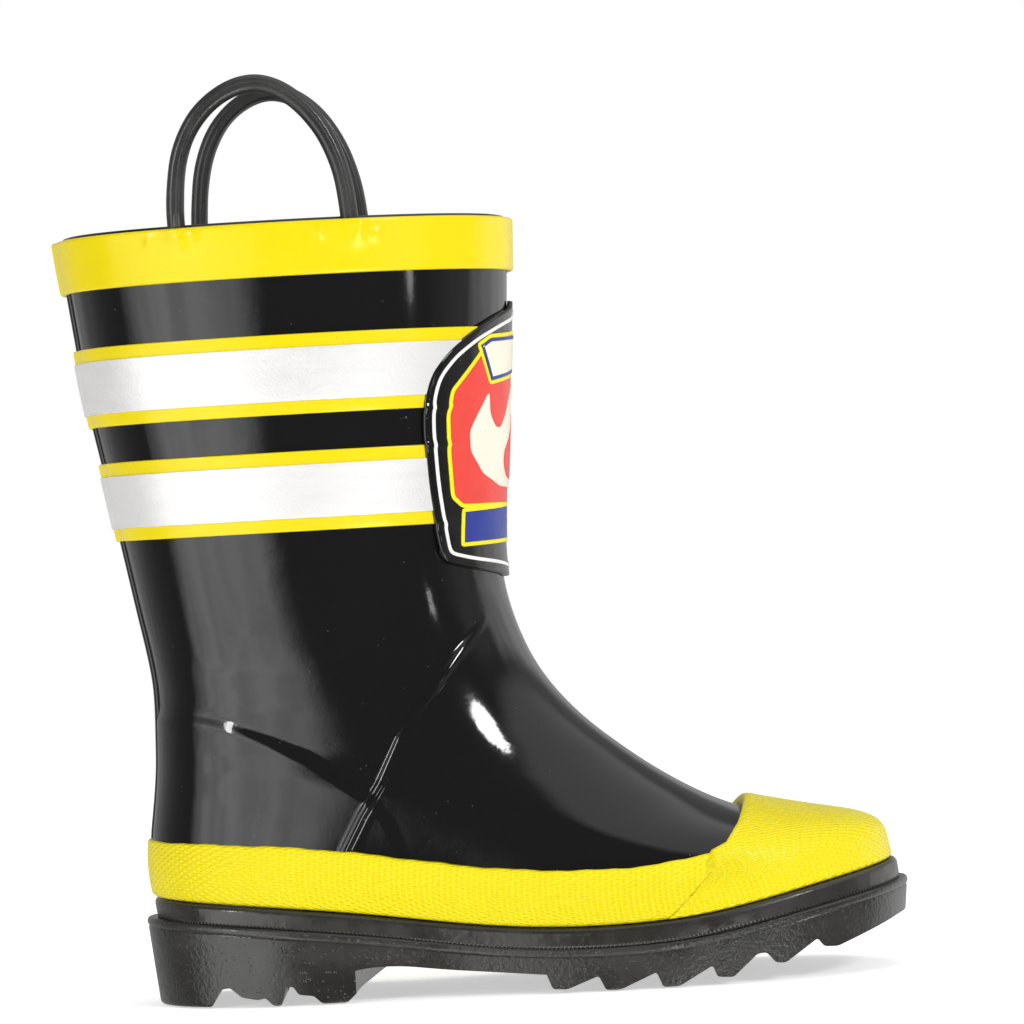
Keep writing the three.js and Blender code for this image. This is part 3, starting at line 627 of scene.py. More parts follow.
def signed_distance(x, z, edge):
    """Distance from a polyline in the side view, positive on its left as it runs."""
    best = np.full(np.shape(x), 1e9)
    sign = np.ones(np.shape(x))
    for (ax, az), (bx, bz) in zip(edge[:-1], edge[1:]):
        dx, dz = bx - ax, bz - az
        share = np.clip(((x - ax) * dx + (z - az) * dz) / (dx * dx + dz * dz), 0, 1)
        away = np.hypot(x - ax - share * dx, z - az - share * dz)
        side = np.sign(dx * (z - az) - dz * (x - ax))
        nearer = away < best
        best = np.where(nearer, away, best)
        sign = np.where(nearer, side, sign)
    return best * sign


def smooth_step(value, width):
    s = np.clip(value / width + 0.5, 0, 1)
    return s * s * (3 - 2 * s)


def skin_relief(level, angle):
    """How far the skin stands up where it lies over the edges of its inner plies."""
    p = skin(level, angle)
    x, z = p[..., 0], p[..., 2]
    counter = -signed_distance(x, z, COUNTER_EDGE)
    vamp = signed_distance(x, z, VAMP_EDGE)
    fade = np.clip((100 - z) / 14, 0, 1)
    under_vamp = 1 - 0.75 * smooth_step(vamp - 1, 5)
    over_counter = 0.75 * smooth_step(counter - 1.8, 4.4)
    ridge = smooth_step(vamp + 1.0, 1.2) - smooth_step(vamp - 1.0, 1.2)
    over_vamp = 0.15 * smooth_step(vamp, 2.0) + 0.75 * ridge
    return over_counter * under_vamp + over_vamp * fade


def upper_angles(n):
    """Angles round the upper, closest together where the plies' edges run."""
    fine = np.linspace(0, 2 * math.pi, 4000)
    p = skin(60.0, fine)
    closer = 1 + 2.2 * np.exp(-(((p[1:, 0] + 25) / 26) ** 2))
    run = running(step_lengths(p) * closer)
    return np.interp(np.linspace(0, run[-1], n + 1)[:-1], run, fine)


def make_upper():
    columns = upper_angles(960)
    shares = [(0, 0.2, 150), (0.2, 0.55, 140), (0.55, 1, 100)]  # closest together round the foot
    rows = np.unique(np.concatenate([np.linspace(*share) for share in shares]))
    bottom = level_above_lip(columns, -1.6)
    top = level_at_height(columns, RIM - RIM_ROUND)
    level = bottom + (top - bottom) * rows[:, None]
    outside = wall(level, columns, skin_relief(level, columns))
    rim = []
    for a in np.linspace(0, math.pi, 9)[1:]:
        depth = np.full(len(columns), -RIM_ROUND * (1 - math.cos(a)))
        rim.append(wall(top + RIM_ROUND * math.sin(a), columns, depth))
    inner_levels = top + (bottom - top) * np.linspace(0, 1, 60)[1:, None]
    inner_offset = -UPPER_WALL + (UPPER_WALL - FOOT_WALL) * smooth_step(85 - inner_levels, 20)
    inner_face = wall(inner_levels, columns, inner_offset)
    points = np.concatenate([outside, np.array(rim), inner_face])
    return on_boot(closed_grid("upper_skin", points, GLOSS), "upper", "upper")


make_upper()


def make_lining():
    columns = even_angles(200)
    bottom = level_above_lip(columns, 0.6)
    top = level_at_height(columns, RIM - 0.8)
    level = bottom + (top - bottom) * np.linspace(0, 1, 150)[:, None]
    inner_face, outside = (wall(level, columns, np.full(level.shape, offset)) for offset in LINING)
    points = np.concatenate([outside, inner_face[::-1]])
    uvs = np.stack([arc_lengths(points, 1), arc_lengths(points, 0)], -1).reshape(-1, 2)
    return on_boot(closed_grid("knitted_lining", points, LINING_KNIT, uvs), "lining", "lining")


make_lining()


# ---------- yellow trim and welt round the foot ----------
SEAM_LOW = (44.0, WELT_TOP + 0.4)  # x, and height above the lip
SEAM_HIGH = (56.0, 20.8)
SEAM_GAP = 0.3
TRIM_LEVEL = 26.0  # the skin's level at about the trim's lower edge
CAP_EDGE = np.array([(28, 44.0), (33.8, 56.2), (35.2, 60.4), (39, 64), (45, 67.2), (52, 69)], float)  # z, x


def angle_at_x(x, above, side):
    """The angle on one side where the skin, a distance above the lip, reaches x."""
    fine = np.linspace(0.02, math.pi - 0.02, 1500) * side
    p = skin(level_above_lip(fine, above), fine)
    return float(np.interp(-x, -p[:, 0], fine))


def seam_angles(n, sides, gap=0.0, turn=0.0):
    """Angles along the trim's lower and upper edge, from one seam to the other."""
    low, high = ([angle_at_x(x + gap, above, side) for side in sides] for x, above in (SEAM_LOW, SEAM_HIGH))
    lower = even_angles(n, TRIM_LEVEL, low[0], turn + low[1])
    share = (lower - lower[0]) / (lower[-1] - lower[0])
    return lower, high[0] + (turn + high[1] - high[0]) * share


def edge_above_lip(angle, above):
    return level_above_lip(angle, above), angle


def at_heel(level, angle):
    """1 round the back of the heel, 0 elsewhere."""
    return smooth_step(-84 - skin(level, angle)[..., 0], 14)


def make_welt():
    ring = even_angles(420)
    piece = band(
        "welt_strip_rubber", edge_above_lip(ring, 0.2), edge_above_lip(ring, WELT_TOP), *WELT, WELT_RUBBER,
        radii=(0.5, 1.5), rows=4, swell=lambda level, angle: -1.5 * at_heel(level, angle),
    )
    return on_boot(piece, "welt_strip", "welt_strip")


def make_foxing():
    lower, upper = seam_angles(420, (1, -1), turn=2 * math.pi)
    piece = band(
        "foxing_rubber", edge_above_lip(lower, WELT_TOP + 0.2), edge_above_lip(upper, foxing_top), *TRIM,
        KNURLED_YELLOW, radii=(1.9, 0.9), rows=16, wrap=False, bulge=0.25,
        swell=lambda level, angle: -0.4 * at_heel(level, angle),
    )
    return on_boot(piece, "yellow_knurled", "foxing_band")


def cap_swell(level, angle):
    """The toe cap is thicker over the top of the toes."""
    p = skin(level, angle)
    x = p[..., 0]
    above = p[..., 2] - lip_height(x)
    return 1.8 * smooth_step(above - 20, 12) * (1 - smooth_step(x - 100, 8))


def make_toe_cap():
    n = 300
    lower, upper = seam_angles(n, (-1, 1), gap=SEAM_GAP)

    def past_edge(t):
        p = skin(t, upper)
        return np.interp(p[..., 2], CAP_EDGE[:, 0], CAP_EDGE[:, 1]) - p[..., 0]

    levels = solve(past_edge, np.ones(n) * 30, np.ones(n) * 60)
    piece = band(
        "toe_cap_rubber", edge_above_lip(lower, WELT_TOP + 0.2), (levels, upper), *TRIM, KNURLED_YELLOW,
        radii=(1.6, 1.0), rows=60, wrap=False, bulge=0.4, swell=cap_swell,
    )
    return on_boot(piece, "yellow_knurled", "toe_cap")


make_welt()
make_foxing()
make_toe_cap()


# ---------- outsole ----------
SOLE_LOW = 2.8  # beyond the skin's lowest ring, at the ground
SOLE_HIGH = 5.0
SOLE_HIGH_Z = 20
TRAY = 1.8
TRAY_DROP = 2.3  # the tray's floor, below the lip
WIDE = 140
# Underside outlines as [x, z], from the heel forward. Each lug has a steep back and a sloped front.
HEEL_UNDERSIDE = [
    (-WIDE, 0), (-77.2, 0), (-74.6, 4.7), (-72, 5.1), (-69, 2.5), (-64.6, 1.7), (-62.6, 2.2), (-60.6, 0),
    (-58.4, 0), (-57, 4.7), (-55.2, 5.0), (-53.8, 2.7), (-49.8, 2.2), (-47.6, 0), (-41, 0), (-37.5, 3.2),
    (-28.5, 6.2), (-10, 7),
]
ARCH_START = -60
ARCH_END = 11.8
TREAD_UNDERSIDE = [
    (ARCH_END, 4.8), (13.2, 0.9), (17, 0.7), (25.4, 3.9), (27.2, 0), (31, 0), (40.6, 4.1), (42.2, 0),
    (46.5, 0.1), (55.4, 5.0), (56.6, 1.9), (60.8, 1.6), (67.4, 7.3), (69.8, 7.5), (72.2, 4.6), (74.8, 4.4),
    (83.6, 10.1), (85.3, 7.8), (89, 7.5), (107, 13.7), (WIDE, 20),
]
ARCH_UNDERSIDE = [(ARCH_START, 4.2), (-50, 4.2), (-38, 8.8), (-27, 9.0), (-14, 7.2), (ARCH_END, 4.8)]
UNDERNEATH = -9  # below every cut
FILLER_INSET = 8.5
SIDE_SECTION = ((0.0, 0.5), (0.35, 0.12), (0.9, 0.0), (4.0, 0.0))  # height, and how far it is tucked in
BREAST = [(-41.5, -WIDE), (-38.5, -30), (-29, 24), (-29, WIDE)]  # the heel's front edge, as [x, y]
CHANNELS = [((-70, -5, -1), (-46, 5, 3.6)), ((18, -5, -1), (78, 5, 3.6))]


def plan_loop(offset, n):
    """The foot's plan outline, grown by an offset, as [x, y]."""
    p = skin(np.full(n, LEVELS[0]), even_angles(n))[:, :2]
    step = np.roll(p, -1, 0) - np.roll(p, 1, 0)
    out = np.stack([step[:, 1], -step[:, 0]], -1)
    return p + offset * out / np.linalg.norm(out, axis=1, keepdims=True)


def at_height(loop, z):
    return np.column_stack([loop, np.broadcast_to(z, len(loop))])


def temporary(points, faces):
    """A plain object in millimetres, to cut with or be cut."""
    mesh = bpy.data.meshes.new("temporary")
    mesh.from_pydata(np.asarray(points, float).tolist(), [], faces)
    return new_object("temporary", mesh)


def rounded(points, radius, steps=4):
    """An open outline with its corners rounded off."""
    made = [points[0]]
    for before, here, after in zip(points, points[1:], points[2:]):
        a, b, c = (np.array(p, float) for p in (before, here, after))
        cut = min(radius, 0.45 * np.linalg.norm(a - b), 0.45 * np.linalg.norm(c - b))
        start = b + (a - b) / np.linalg.norm(a - b) * cut
        end = b + (c - b) / np.linalg.norm(c - b) * cut
        for u in np.linspace(0, 1, steps + 1):
            made.append(tuple((1 - u) ** 2 * start + 2 * u * (1 - u) * b + u * u * end))
    return made + [points[-1]]


def prism(outline, low, high, place):
    """A solid with a flat outline. place(a, b, c) turns an outline point and a depth into a point."""
    area = sum(a[0] * b[1] - b[0] * a[1] for a, b in zip(outline, outline[1:] + outline[:1]))
    outline = outline if area > 0 else outline[::-1]
    n = len(outline)
    points = [place(a, b, low) for a, b in outline] + [place(a, b, high) for a, b in outline]
    faces = [list(range(n - 1, -1, -1)), list(range(n, 2 * n))]
    faces += [[i, (i + 1) % n, (i + 1) % n + n, i + n] for i in range(n)]
    return temporary(points, faces)


def side_prism(outline, low=-WIDE, high=WIDE):
    """From an [x, z] outline, through the boot along Y."""
    return prism(outline, -high, -low, lambda x, z, y: (x, -y, z))


def plan_prism(outline, low, high):
    """From an [x, y] outline, upright."""
    return prism([tuple(p) for p in outline], low, high, lambda x, y, z: (x, y, z))


def box_prism(low, high):
    corners = [(low[0], low[1]), (high[0], low[1]), (high[0], high[1]), (low[0], high[1])]
    return plan_prism(corners, low[2], high[2])


def combined(target, tool, operation="DIFFERENCE"):
    step = target.modifiers.new("cut", "BOOLEAN")
    step.operation = operation
    step.solver = "EXACT"
    step.object = tool
    bpy.context.view_layer.update()
    done = bpy.data.meshes.new_from_object(target.evaluated_get(bpy.context.evaluated_depsgraph_get()))
    target.modifiers.clear()
    target.data = done
    bpy.data.objects.remove(tool)
    return target


# The lip's section as (height above the lip line, outwards from the wall): a fine groove, a bead, the top.
LIP_SECTION = [
    (-2.9, 0.0), (-2.5, -0.06), (-2.25, -0.2), (-2.0, -0.06), (-1.7, 0.18), (-1.2, 0.3), (-0.6, 0.22),
    (-0.15, -0.15), (0.0, -0.8),
]


def sole_walls():
    """The outsole's block: its side wall, its moulded lip and the tray that the foot stands in."""
    n = 300
    rings = []
    for z, tuck in SIDE_SECTION:
        spread = SOLE_LOW + (SOLE_HIGH - SOLE_LOW) * z / SOLE_HIGH_Z - tuck
        rings.append(at_height(plan_loop(spread, n), z))
    for rise, out in LIP_SECTION:
        flat = plan_loop(SOLE_HIGH - 0.3, n)
        z = lip_height(flat[:, 0]) + rise
        spread = SOLE_LOW + (SOLE_HIGH - SOLE_LOW) * np.minimum(z / SOLE_HIGH_Z, 1)
        near, far = plan_loop(0.0, n), plan_loop(1.0, n)
        loop = near + (far - near) * (spread + out)[:, None]
        rings.append(at_height(loop, z))
    tray = plan_loop(TRAY, n)
    rings.append(at_height(tray, lip_height(tray[:, 0])))
    for inwards in (0, 10, 20):
        loop = plan_loop(TRAY - inwards, n)
        rings.append(at_height(loop, lip_height(loop[:, 0]) - TRAY_DROP))
    points = np.concatenate(rings)
    faces = grid_faces(len(rings), n, wrap_cols=True)
    last = (len(rings) - 1) * n
    faces += across(last, n)
    faces.append(list(range(n))[::-1])
    return temporary(points, faces)


def across(first, n):
    """Faces that join the two sides of a long loop with strips straight across it."""
    half = n // 2
    made = [[first, first + 1, first + n - 1]]
    made += [[first + j, first + j + 1, first + n - j - 1, first + n - j] for j in range(1, half - 1)]
    made.append([first + half - 1, first + half, first + half + 1])
    return made


def cut_fillers(sole):
    """The hollows under the insole board that hold the heel filler and the sponge."""
    plan = plan_loop(-FILLER_INSET, 60)
    heel = combined(plan_prism(plan, 9, 60), box_prism((-84, -WIDE, 0), (-46, WIDE, 70)), "INTERSECT")
    back, front, top = 2, 88, 60
    floor = [(float(x), float(lip_height(x) - TRAY_DROP - 2.5)) for x in np.linspace(back, front, 20)]
    above = side_prism([*floor, (front, top), (back, top)])
    sponge = combined(plan_prism(plan, 0, 55), above, "INTERSECT")
    return combined(combined(sole, heel), sponge)


def make_outsole():
    sole = sole_walls()
    heel = rounded(HEEL_UNDERSIDE, 0.8)
    tread = rounded(TREAD_UNDERSIDE, 0.8)
    arch = rounded(ARCH_UNDERSIDE, 6.0)
    below_heel = side_prism([(-WIDE, UNDERNEATH), *heel, (-10, UNDERNEATH)])
    past_breast = [(x + 0.6, y) for x, y in BREAST]  # a little over the next cut, so that no film is left
    behind_breast = plan_prism([*past_breast, (-WIDE - 1, WIDE), (-WIDE - 1, -WIDE)], -20, 40)
    sole = combined(sole, combined(below_heel, behind_breast, "INTERSECT"))
    below_arch = side_prism([(ARCH_START, UNDERNEATH), *arch, (ARCH_END, UNDERNEATH)])
    between = plan_prism([*BREAST, (ARCH_END, WIDE), (ARCH_END, -WIDE)], -20, 40)
    sole = combined(sole, combined(below_arch, between, "INTERSECT"))
    sole = combined(sole, side_prism([(ARCH_END, UNDERNEATH), *tread, (WIDE, UNDERNEATH)]))
    for corners in CHANNELS:
        sole = combined(sole, box_prism(*corners))
    sole = cut_fillers(sole)
    points = np.array([v.co for v in sole.data.vertices])
    faces = [list(p.vertices) for p in sole.data.polygons]
    bpy.data.objects.remove(sole)
    piece = add_mesh("outsole_rubber", points, faces, SOLE)
    piece.data.set_sharp_from_angle(angle=math.radians(32))
    return on_boot(piece, "outsole", "outsole")


make_outsole()


# ---------- footbed ----------
BED = (2.4, 5.9)  # heights above the skin's bottom edge
BED_INSET = 4.5


def make_footbed():
    n = 200
    rings = []
    section = [(0.0, BED[0]), (0.0, BED[1] - 1.2), (0.35, BED[1] - 0.35), (1.2, BED[1])]
    section += [(d, BED[1] - 0.4 * smooth_step(d - 9, 14)) for d in np.linspace(3, 20, 9)]
    for inset, rise in section:
        loop = plan_loop(-BED_INSET - inset, n)
        rings.append(at_height(loop, lip_height(loop[:, 0]) - FEATHER_DROP + rise))
    points = np.concatenate(rings)
    faces = grid_faces(len(rings), n, wrap_cols=True)
    faces += across((len(rings) - 1) * n, n)
    faces += [face[::-1] for face in across(0, n)]
    piece = add_mesh("footbed_cloth", points, faces, FOOTBED_KNIT, points[:, :2])
    return on_boot(piece, "footbed", "footbed")


make_footbed()


# ---------- back strip, cuff, bands and tapes ----------
RING = even_angles(560, 150.0)
HANDLE_ROOTS_X = (-74.3, -27.2)
STRIP = (-0.1, 1.1)
CUFF_OFFSETS = (0.1, 1.7)
BAND_OFFSETS = (0.1, 1.0)
TAPE_OFFSETS = (0.8, 1.4)


def strip_lift(level, angle):
    """The bands rise where they pass over the back strip."""
    p = skin(level, angle)
    near = np.abs(p[..., 1]) - STRIP_HALF
    return 0.95 * smooth_step(-near, 3.0) * (p[..., 0] < -60)


# Small lumps on the cuff by the loops' ends, as [x, z].
CUFF_LUMPS = [(-81.0, 202.8), (-72.8, 202.4), (-69.5, 203.6), (-37.0, 202.6), (-26.5, 203.4), (-22.5, 201.5)]


def cuff_swell(level, angle):
    """The cuff rises over the back strip and the pull loops' ends, and is a little wavy."""
    p = skin(level, angle)
    x, z = p[..., 0], p[..., 2]
    bumps = sum(np.exp(-(((x - root) / 2.8) ** 2)) for root in HANDLE_ROOTS_X)
    lumps = sum(np.exp(-(((x - at) / 1.3) ** 2) - ((z - height) / 1.5) ** 2) for at, height in CUFF_LUMPS)
    up = smooth_step(z - 200, 8)
    wave = 0.07 * np.sin(angle * 9) * np.sin(z * 0.5) + 0.05 * np.sin(angle * 23 + 1.3)
    return strip_lift(level, angle) + 0.9 * bumps * up + 0.6 * lumps + wave


def angle_at_y(level, y):
    """The angle near the heel end where the skin reaches y, at each level."""
    angle = np.full(np.shape(level), math.pi)
    for _ in range(6):
        here = skin(level, angle)[..., 1]
        slope = (skin(level, angle + 1e-3)[..., 1] - here) / 1e-3
        angle = angle - (here - y) / slope
    return angle


def make_back_strip():
    n = 240
    middle = level_at_height(np.full(n, math.pi), np.linspace(44.4, RIM - 1.0, n))
    rows = []
    for share in np.sin(np.linspace(-math.pi / 2, math.pi / 2, 25)):
        offset = STRIP[0] + (STRIP[1] - STRIP[0]) * (1 - abs(share) ** 7) ** 0.5
        rows.append(wall(middle, angle_at_y(middle, share * STRIP_HALF), np.full(n, offset)))
    rows.append(wall(middle, angle_at_y(middle, 0.0), np.full(n, STRIP[0] - 0.2)))
    points = np.array(rows)
    faces = [face[::-1] for face in grid_faces(len(points), n, wrap_rows=True)]
    faces.append([i * n for i in range(len(points))])
    faces.append([i * n + n - 1 for i in reversed(range(len(points)))])
    piece = add_mesh("back_strip_rubber", points.reshape(-1, 3), faces, GLOSS)
    return on_boot(piece, "back_strip", "back_strip")


def ring_edge(height):
    return level_at_height(RING, height), RING


def make_cuff():
    piece = band(
        "cuff_rubber", ring_edge(CUFF[0]), ring_edge(CUFF[1]), *CUFF_OFFSETS, SMOOTH_YELLOW, radii=(0.8, 0.8),
        rows=18, swell=cuff_swell,
    )
    return on_boot(piece, "yellow_smooth", "top_cuff")


# ---------- the badge's outlines ----------
# As [x, z] in the side view, from the top down the back edge.
SHIELD = [
    (11.4, 184), (10.7, 181.6), (7.5, 179.6), (1.2, 175.8), (-5.4, 170.6), (-10.3, 164.6), (-12.5, 158),
    (-13.2, 150), (-12.8, 136), (-11.3, 122), (-10.3, 114.6), (-3, 112.4), (7, 110),
]
FIELD = [
    (10, 175.4), (6.4, 174.1), (3, 171.4), (-5.8, 160), (-7.4, 153), (-7.7, 143), (-7.4, 131.4),
    (-4.8, 128.6),
]
BAR = [(-4.8, 128.6), (-5.6, 118.3), (7, 118.9)]
PLAQUE = [(4.8, 174.5), (1.4, 172.0), (3.9, 161.0)]
# One half of a flame with three tongues, as [y, z] in the front view, from the bottom to the tip.
FLAME = [
    (0, 133.5), (11, 134), (18.4, 137.4), (22.6, 143.5), (23.2, 149), (21, 154), (17.8, 159.4), (17.2, 153.4),
    (14.6, 149.8), (11.8, 149.6), (9, 152.6), (5.5, 157.4), (0, 162),
]
FLAME_HEART = [(0, 135.6), (6.5, 136.4), (9.6, 139.8), (9.2, 143.6), (5.6, 146.4), (2.6, 149.2), (0, 153.4)]

FRONT_ANGLES = np.linspace(0, 1.8, 500)
FRONT_LEVELS = np.linspace(96, 200, 53)


def front_arcs(levels):
    """Distances from the front's middle, round the skin at each level, at each of FRONT_ANGLES."""
    return arc_lengths(skin(np.asarray(levels)[:, None], FRONT_ANGLES), 1)


FRONT_ARCS = front_arcs(FRONT_LEVELS)


def front_angle(level, s):
    """The angle at a distance s round from the front's middle, at one level."""
    place = (level - FRONT_LEVELS[0]) / (FRONT_LEVELS[1] - FRONT_LEVELS[0])
    row = int(np.clip(place, 0, len(FRONT_LEVELS) - 2))
    arcs = FRONT_ARCS[row] + (FRONT_ARCS[row + 1] - FRONT_ARCS[row]) * (place - row)
    return math.copysign(float(np.interp(abs(s), arcs, FRONT_ANGLES)), s)


def on_front(points):
    """Level and angle of the skin at each (distance round from the front's middle, height)."""
    s, z = np.asarray(points, float).T
    angle = s / 40
    for _ in range(4):
        level = level_at_height(angle, z)
        angle = np.array([front_angle(t, q) for t, q in zip(level, s)])
    return level_at_height(angle, z), angle


def unrolled(outline, axis=0):
    """An outline of x (axis 0) or y (axis 1) and height, as distances round from the front's middle."""
    made = []
    for value, z in outline:
        p = skin(level_at_height(FRONT_ANGLES, float(z)), FRONT_ANGLES)
        arcs = arc_lengths(p[None], 1)[0]
        sign = -1 if axis == 0 else 1
        made.append((float(np.interp(sign * value, sign * p[:, axis], arcs)), float(z)))
    return made


def spaced_loop(points, radius, spacing=0.8):
    """A closed outline with rounded corners, as evenly spaced points that run anticlockwise."""
    middle = ((points[0][0] + points[-1][0]) / 2, (points[0][1] + points[-1][1]) / 2)
    outline = np.array(rounded([middle, *points, middle], radius)[:-1])
    area = np.sum(outline[:, 0] * np.roll(outline[:, 1], -1) - np.roll(outline[:, 0], -1) * outline[:, 1])
    if area < 0:
        outline = outline[::-1]
    closed = np.concatenate([outline, outline[:1]])
    run = running(step_lengths(closed))
    want = np.linspace(0, run[-1], max(12, int(run[-1] / spacing)) + 1)[:-1]
    return np.column_stack([np.interp(want, run, closed[:, k]) for k in (0, 1)])


def both_halves(half):
    """A half outline joined to its mirror image; points on the middle line are kept once."""
    other = [(-s, z) for s, z in half[::-1] if s > 1e-6]
    return list(half) + other


def inset(loop, distance):
    """An anticlockwise loop moved inwards, or a clockwise one moved outwards."""
    step = np.roll(loop, -1, 0) - np.roll(loop, 1, 0)
    left = np.stack([-step[:, 1], step[:, 0]], -1)
    return loop + distance * left / np.linalg.norm(left, axis=1, keepdims=True)


def inside(points, loops):
    """Which points lie inside the loops, by the even-odd rule."""
    x, y = points[:, 0, None], points[:, 1, None]
    crossed = np.zeros(len(points), int)
    for loop in loops:
        a, b = loop, np.roll(loop, -1, 0)
        spans = (a[:, 1] > y) != (b[:, 1] > y)
        at = a[:, 0] + (y - a[:, 1]) * (b[:, 0] - a[:, 0]) / (b[:, 1] - a[:, 1] + 1e-12)
        crossed += (spans & (x < at)).sum(1)
    return crossed % 2 == 1


def filled(loops, spacing):
    """Points and triangles that fill the loops; the loops' own points come first."""
    edge = np.concatenate(loops)
    low, high = edge.min(0), edge.max(0)
    across_s = np.arange(low[0] + 0.31, high[0], spacing)
    up_z = np.arange(low[1] + 0.37, high[1], spacing)
    grid = np.stack(np.meshgrid(across_s, up_z), -1).reshape(-1, 2)
    grid = grid[inside(grid, loops)]
    if len(grid):
        away = np.min(np.linalg.norm(grid[:, None] - edge[None], axis=-1), axis=1)
        grid = grid[away > 0.6 * spacing]
    points = np.concatenate([edge, grid])
    rims = []
    for loop in loops:
        first = len(rims)
        rims += [(first + i, first + (i + 1) % len(loop)) for i in range(len(loop))]
    found = delaunay_2d_cdt([Vector(p) for p in points], rims, [], 0, 1e-6)
    placed = np.array([tuple(v) for v in found[0]])
    triangles = np.array([list(f) for f in found[2]])
    triangles = triangles[inside(placed[triangles].mean(1), loops)]
    a, b, c = (placed[triangles[:, k]] for k in range(3))
    turn = (b[:, 0] - a[:, 0]) * (c[:, 1] - a[:, 1]) - (b[:, 1] - a[:, 1]) * (c[:, 0] - a[:, 0])
    triangles[turn < 0] = triangles[turn < 0][:, ::-1]
    return placed, triangles.tolist()


def plate_on_front(name, loops, low, high, radius, material, spacing=1.6, swell=None):
    """A plate with rounded edges that lies on the front of the leg. Holes are clockwise loops."""
    bottom, under = filled(loops, spacing * 2)
    top, over = filled([inset(loop, radius) for loop in loops], spacing)
    edge = np.concatenate(loops)
    shoulder = np.concatenate([inset(loop, 0.3 * radius) for loop in loops])
    flat = np.concatenate([bottom, edge, shoulder, top])
    n = len(edge)
    heights = [np.full(len(bottom), low), np.full(n, high - radius), np.full(n, high - 0.3 * radius)]
    offset = np.concatenate(heights + [np.full(len(top), high)])
    if swell is not None:
        offset = offset + swell(flat) * (offset > low + 1e-6)
    starts = [0, len(bottom), len(bottom) + n, len(bottom) + 2 * n]
    faces = [face[::-1] for face in under]
    faces += [[starts[3] + i for i in face] for face in over]
    for lower, upper in zip(starts, starts[1:]):
        first = 0
        for loop in loops:
            m = len(loop)
            for i in range(m):
                here, after = first + i, first + (i + 1) % m
                faces.append([lower + here, lower + after, upper + after, upper + here])
            first += m
    return add_mesh(name, wall(*on_front(flat), offset), faces, material)


# ---------- badge ----------
BADGE = (0.15, 1.65)
INLAY = (1.5, 1.95)
RAISED = (1.7, 2.15)
OUTLINE_INSET = 2.2
OUTLINE_WIDTH = 0.95
KEYLINE_WIDTH = 1.1
PLAQUE_BORDER = 0.9
LINE_ROUND = 0.12  # the radius of the lines' edges
BAR_TOP = 128.6
INK_COLOURS = {
    "badge_white": (0.86, 0.86, 0.84),
    "badge_yellow": (0.90, 0.80, 0.02),
    "badge_cream": (0.88, 0.84, 0.70),
    "badge_red": (0.80, 0.075, 0.06),
    "badge_blue": (0.035, 0.055, 0.30),
}
# Each material of the badge has the name of the slot that it fills.
BADGE_LOOKS = {"badge_black": gloss_black("badge_black", base=0.007)}
for slot_name, colour in INK_COLOURS.items():
    BADGE_LOOKS[slot_name] = printed(slot_name, colour)

SHIELD_LOOP = spaced_loop(both_halves(unrolled(SHIELD) + [(0, 109.4)]), 5.0)
FIELD_HALF = unrolled(FIELD)
BAR_HALF = unrolled(BAR)
FIELD_LOOP = spaced_loop(both_halves([(0, 175.6)] + FIELD_HALF), 1.2)
BAR_LOOP = spaced_loop(both_halves([(0, BAR_TOP + KEYLINE_WIDTH)] + BAR_HALF + [(0, 119.0)]), 0.8)
PLAQUE_LOOP = spaced_loop(both_halves([(0, 175.6)] + unrolled(PLAQUE) + [(0, 163.6)]), 1.0)
FLAME_LOOP = spaced_loop(both_halves(unrolled(FLAME, 1)), 1.6, 0.5)
HEART_LOOP = spaced_loop(both_halves(unrolled(FLAME_HEART, 1)), 2.0, 0.5)


def badge_swell(points):
    """The badge's thick edge, its ridges over the bands' edges, and its curled lower corners."""
    s, z = points[:, 0], points[:, 1]
    ridges = 0.0
    for middle in BANDS.values():
        for edge in (middle - BAND_HALF, middle + BAND_HALF):
            ridges = ridges + np.exp(-(((z - edge) / 0.8) ** 2))
    rim = 0.1 + 0.9 * smooth_step(np.abs(s) - 29, 4)
    corner = np.exp(-(((np.abs(s) - 33) / 4) ** 2) - ((z - 114) / 6) ** 2)
    fold = np.exp(-(((np.abs(s) - 30.5) / 1.2) ** 2)) * np.exp(-(((z - 116) / 7) ** 2))
    return 0.55 * ridges * rim + 0.9 * corner - 0.3 * fold


def badge_plate(name, node, slot_name, loops, offsets, radius, **shape):
    piece = plate_on_front(name, loops, *offsets, radius, BADGE_LOOKS[slot_name], **shape)
    return on_boot(piece, slot_name, node)


def ribbon(loop, width):
    """The loops of a line that follows a loop, on its inner side."""
    return [loop, inset(loop, width)[::-1]]


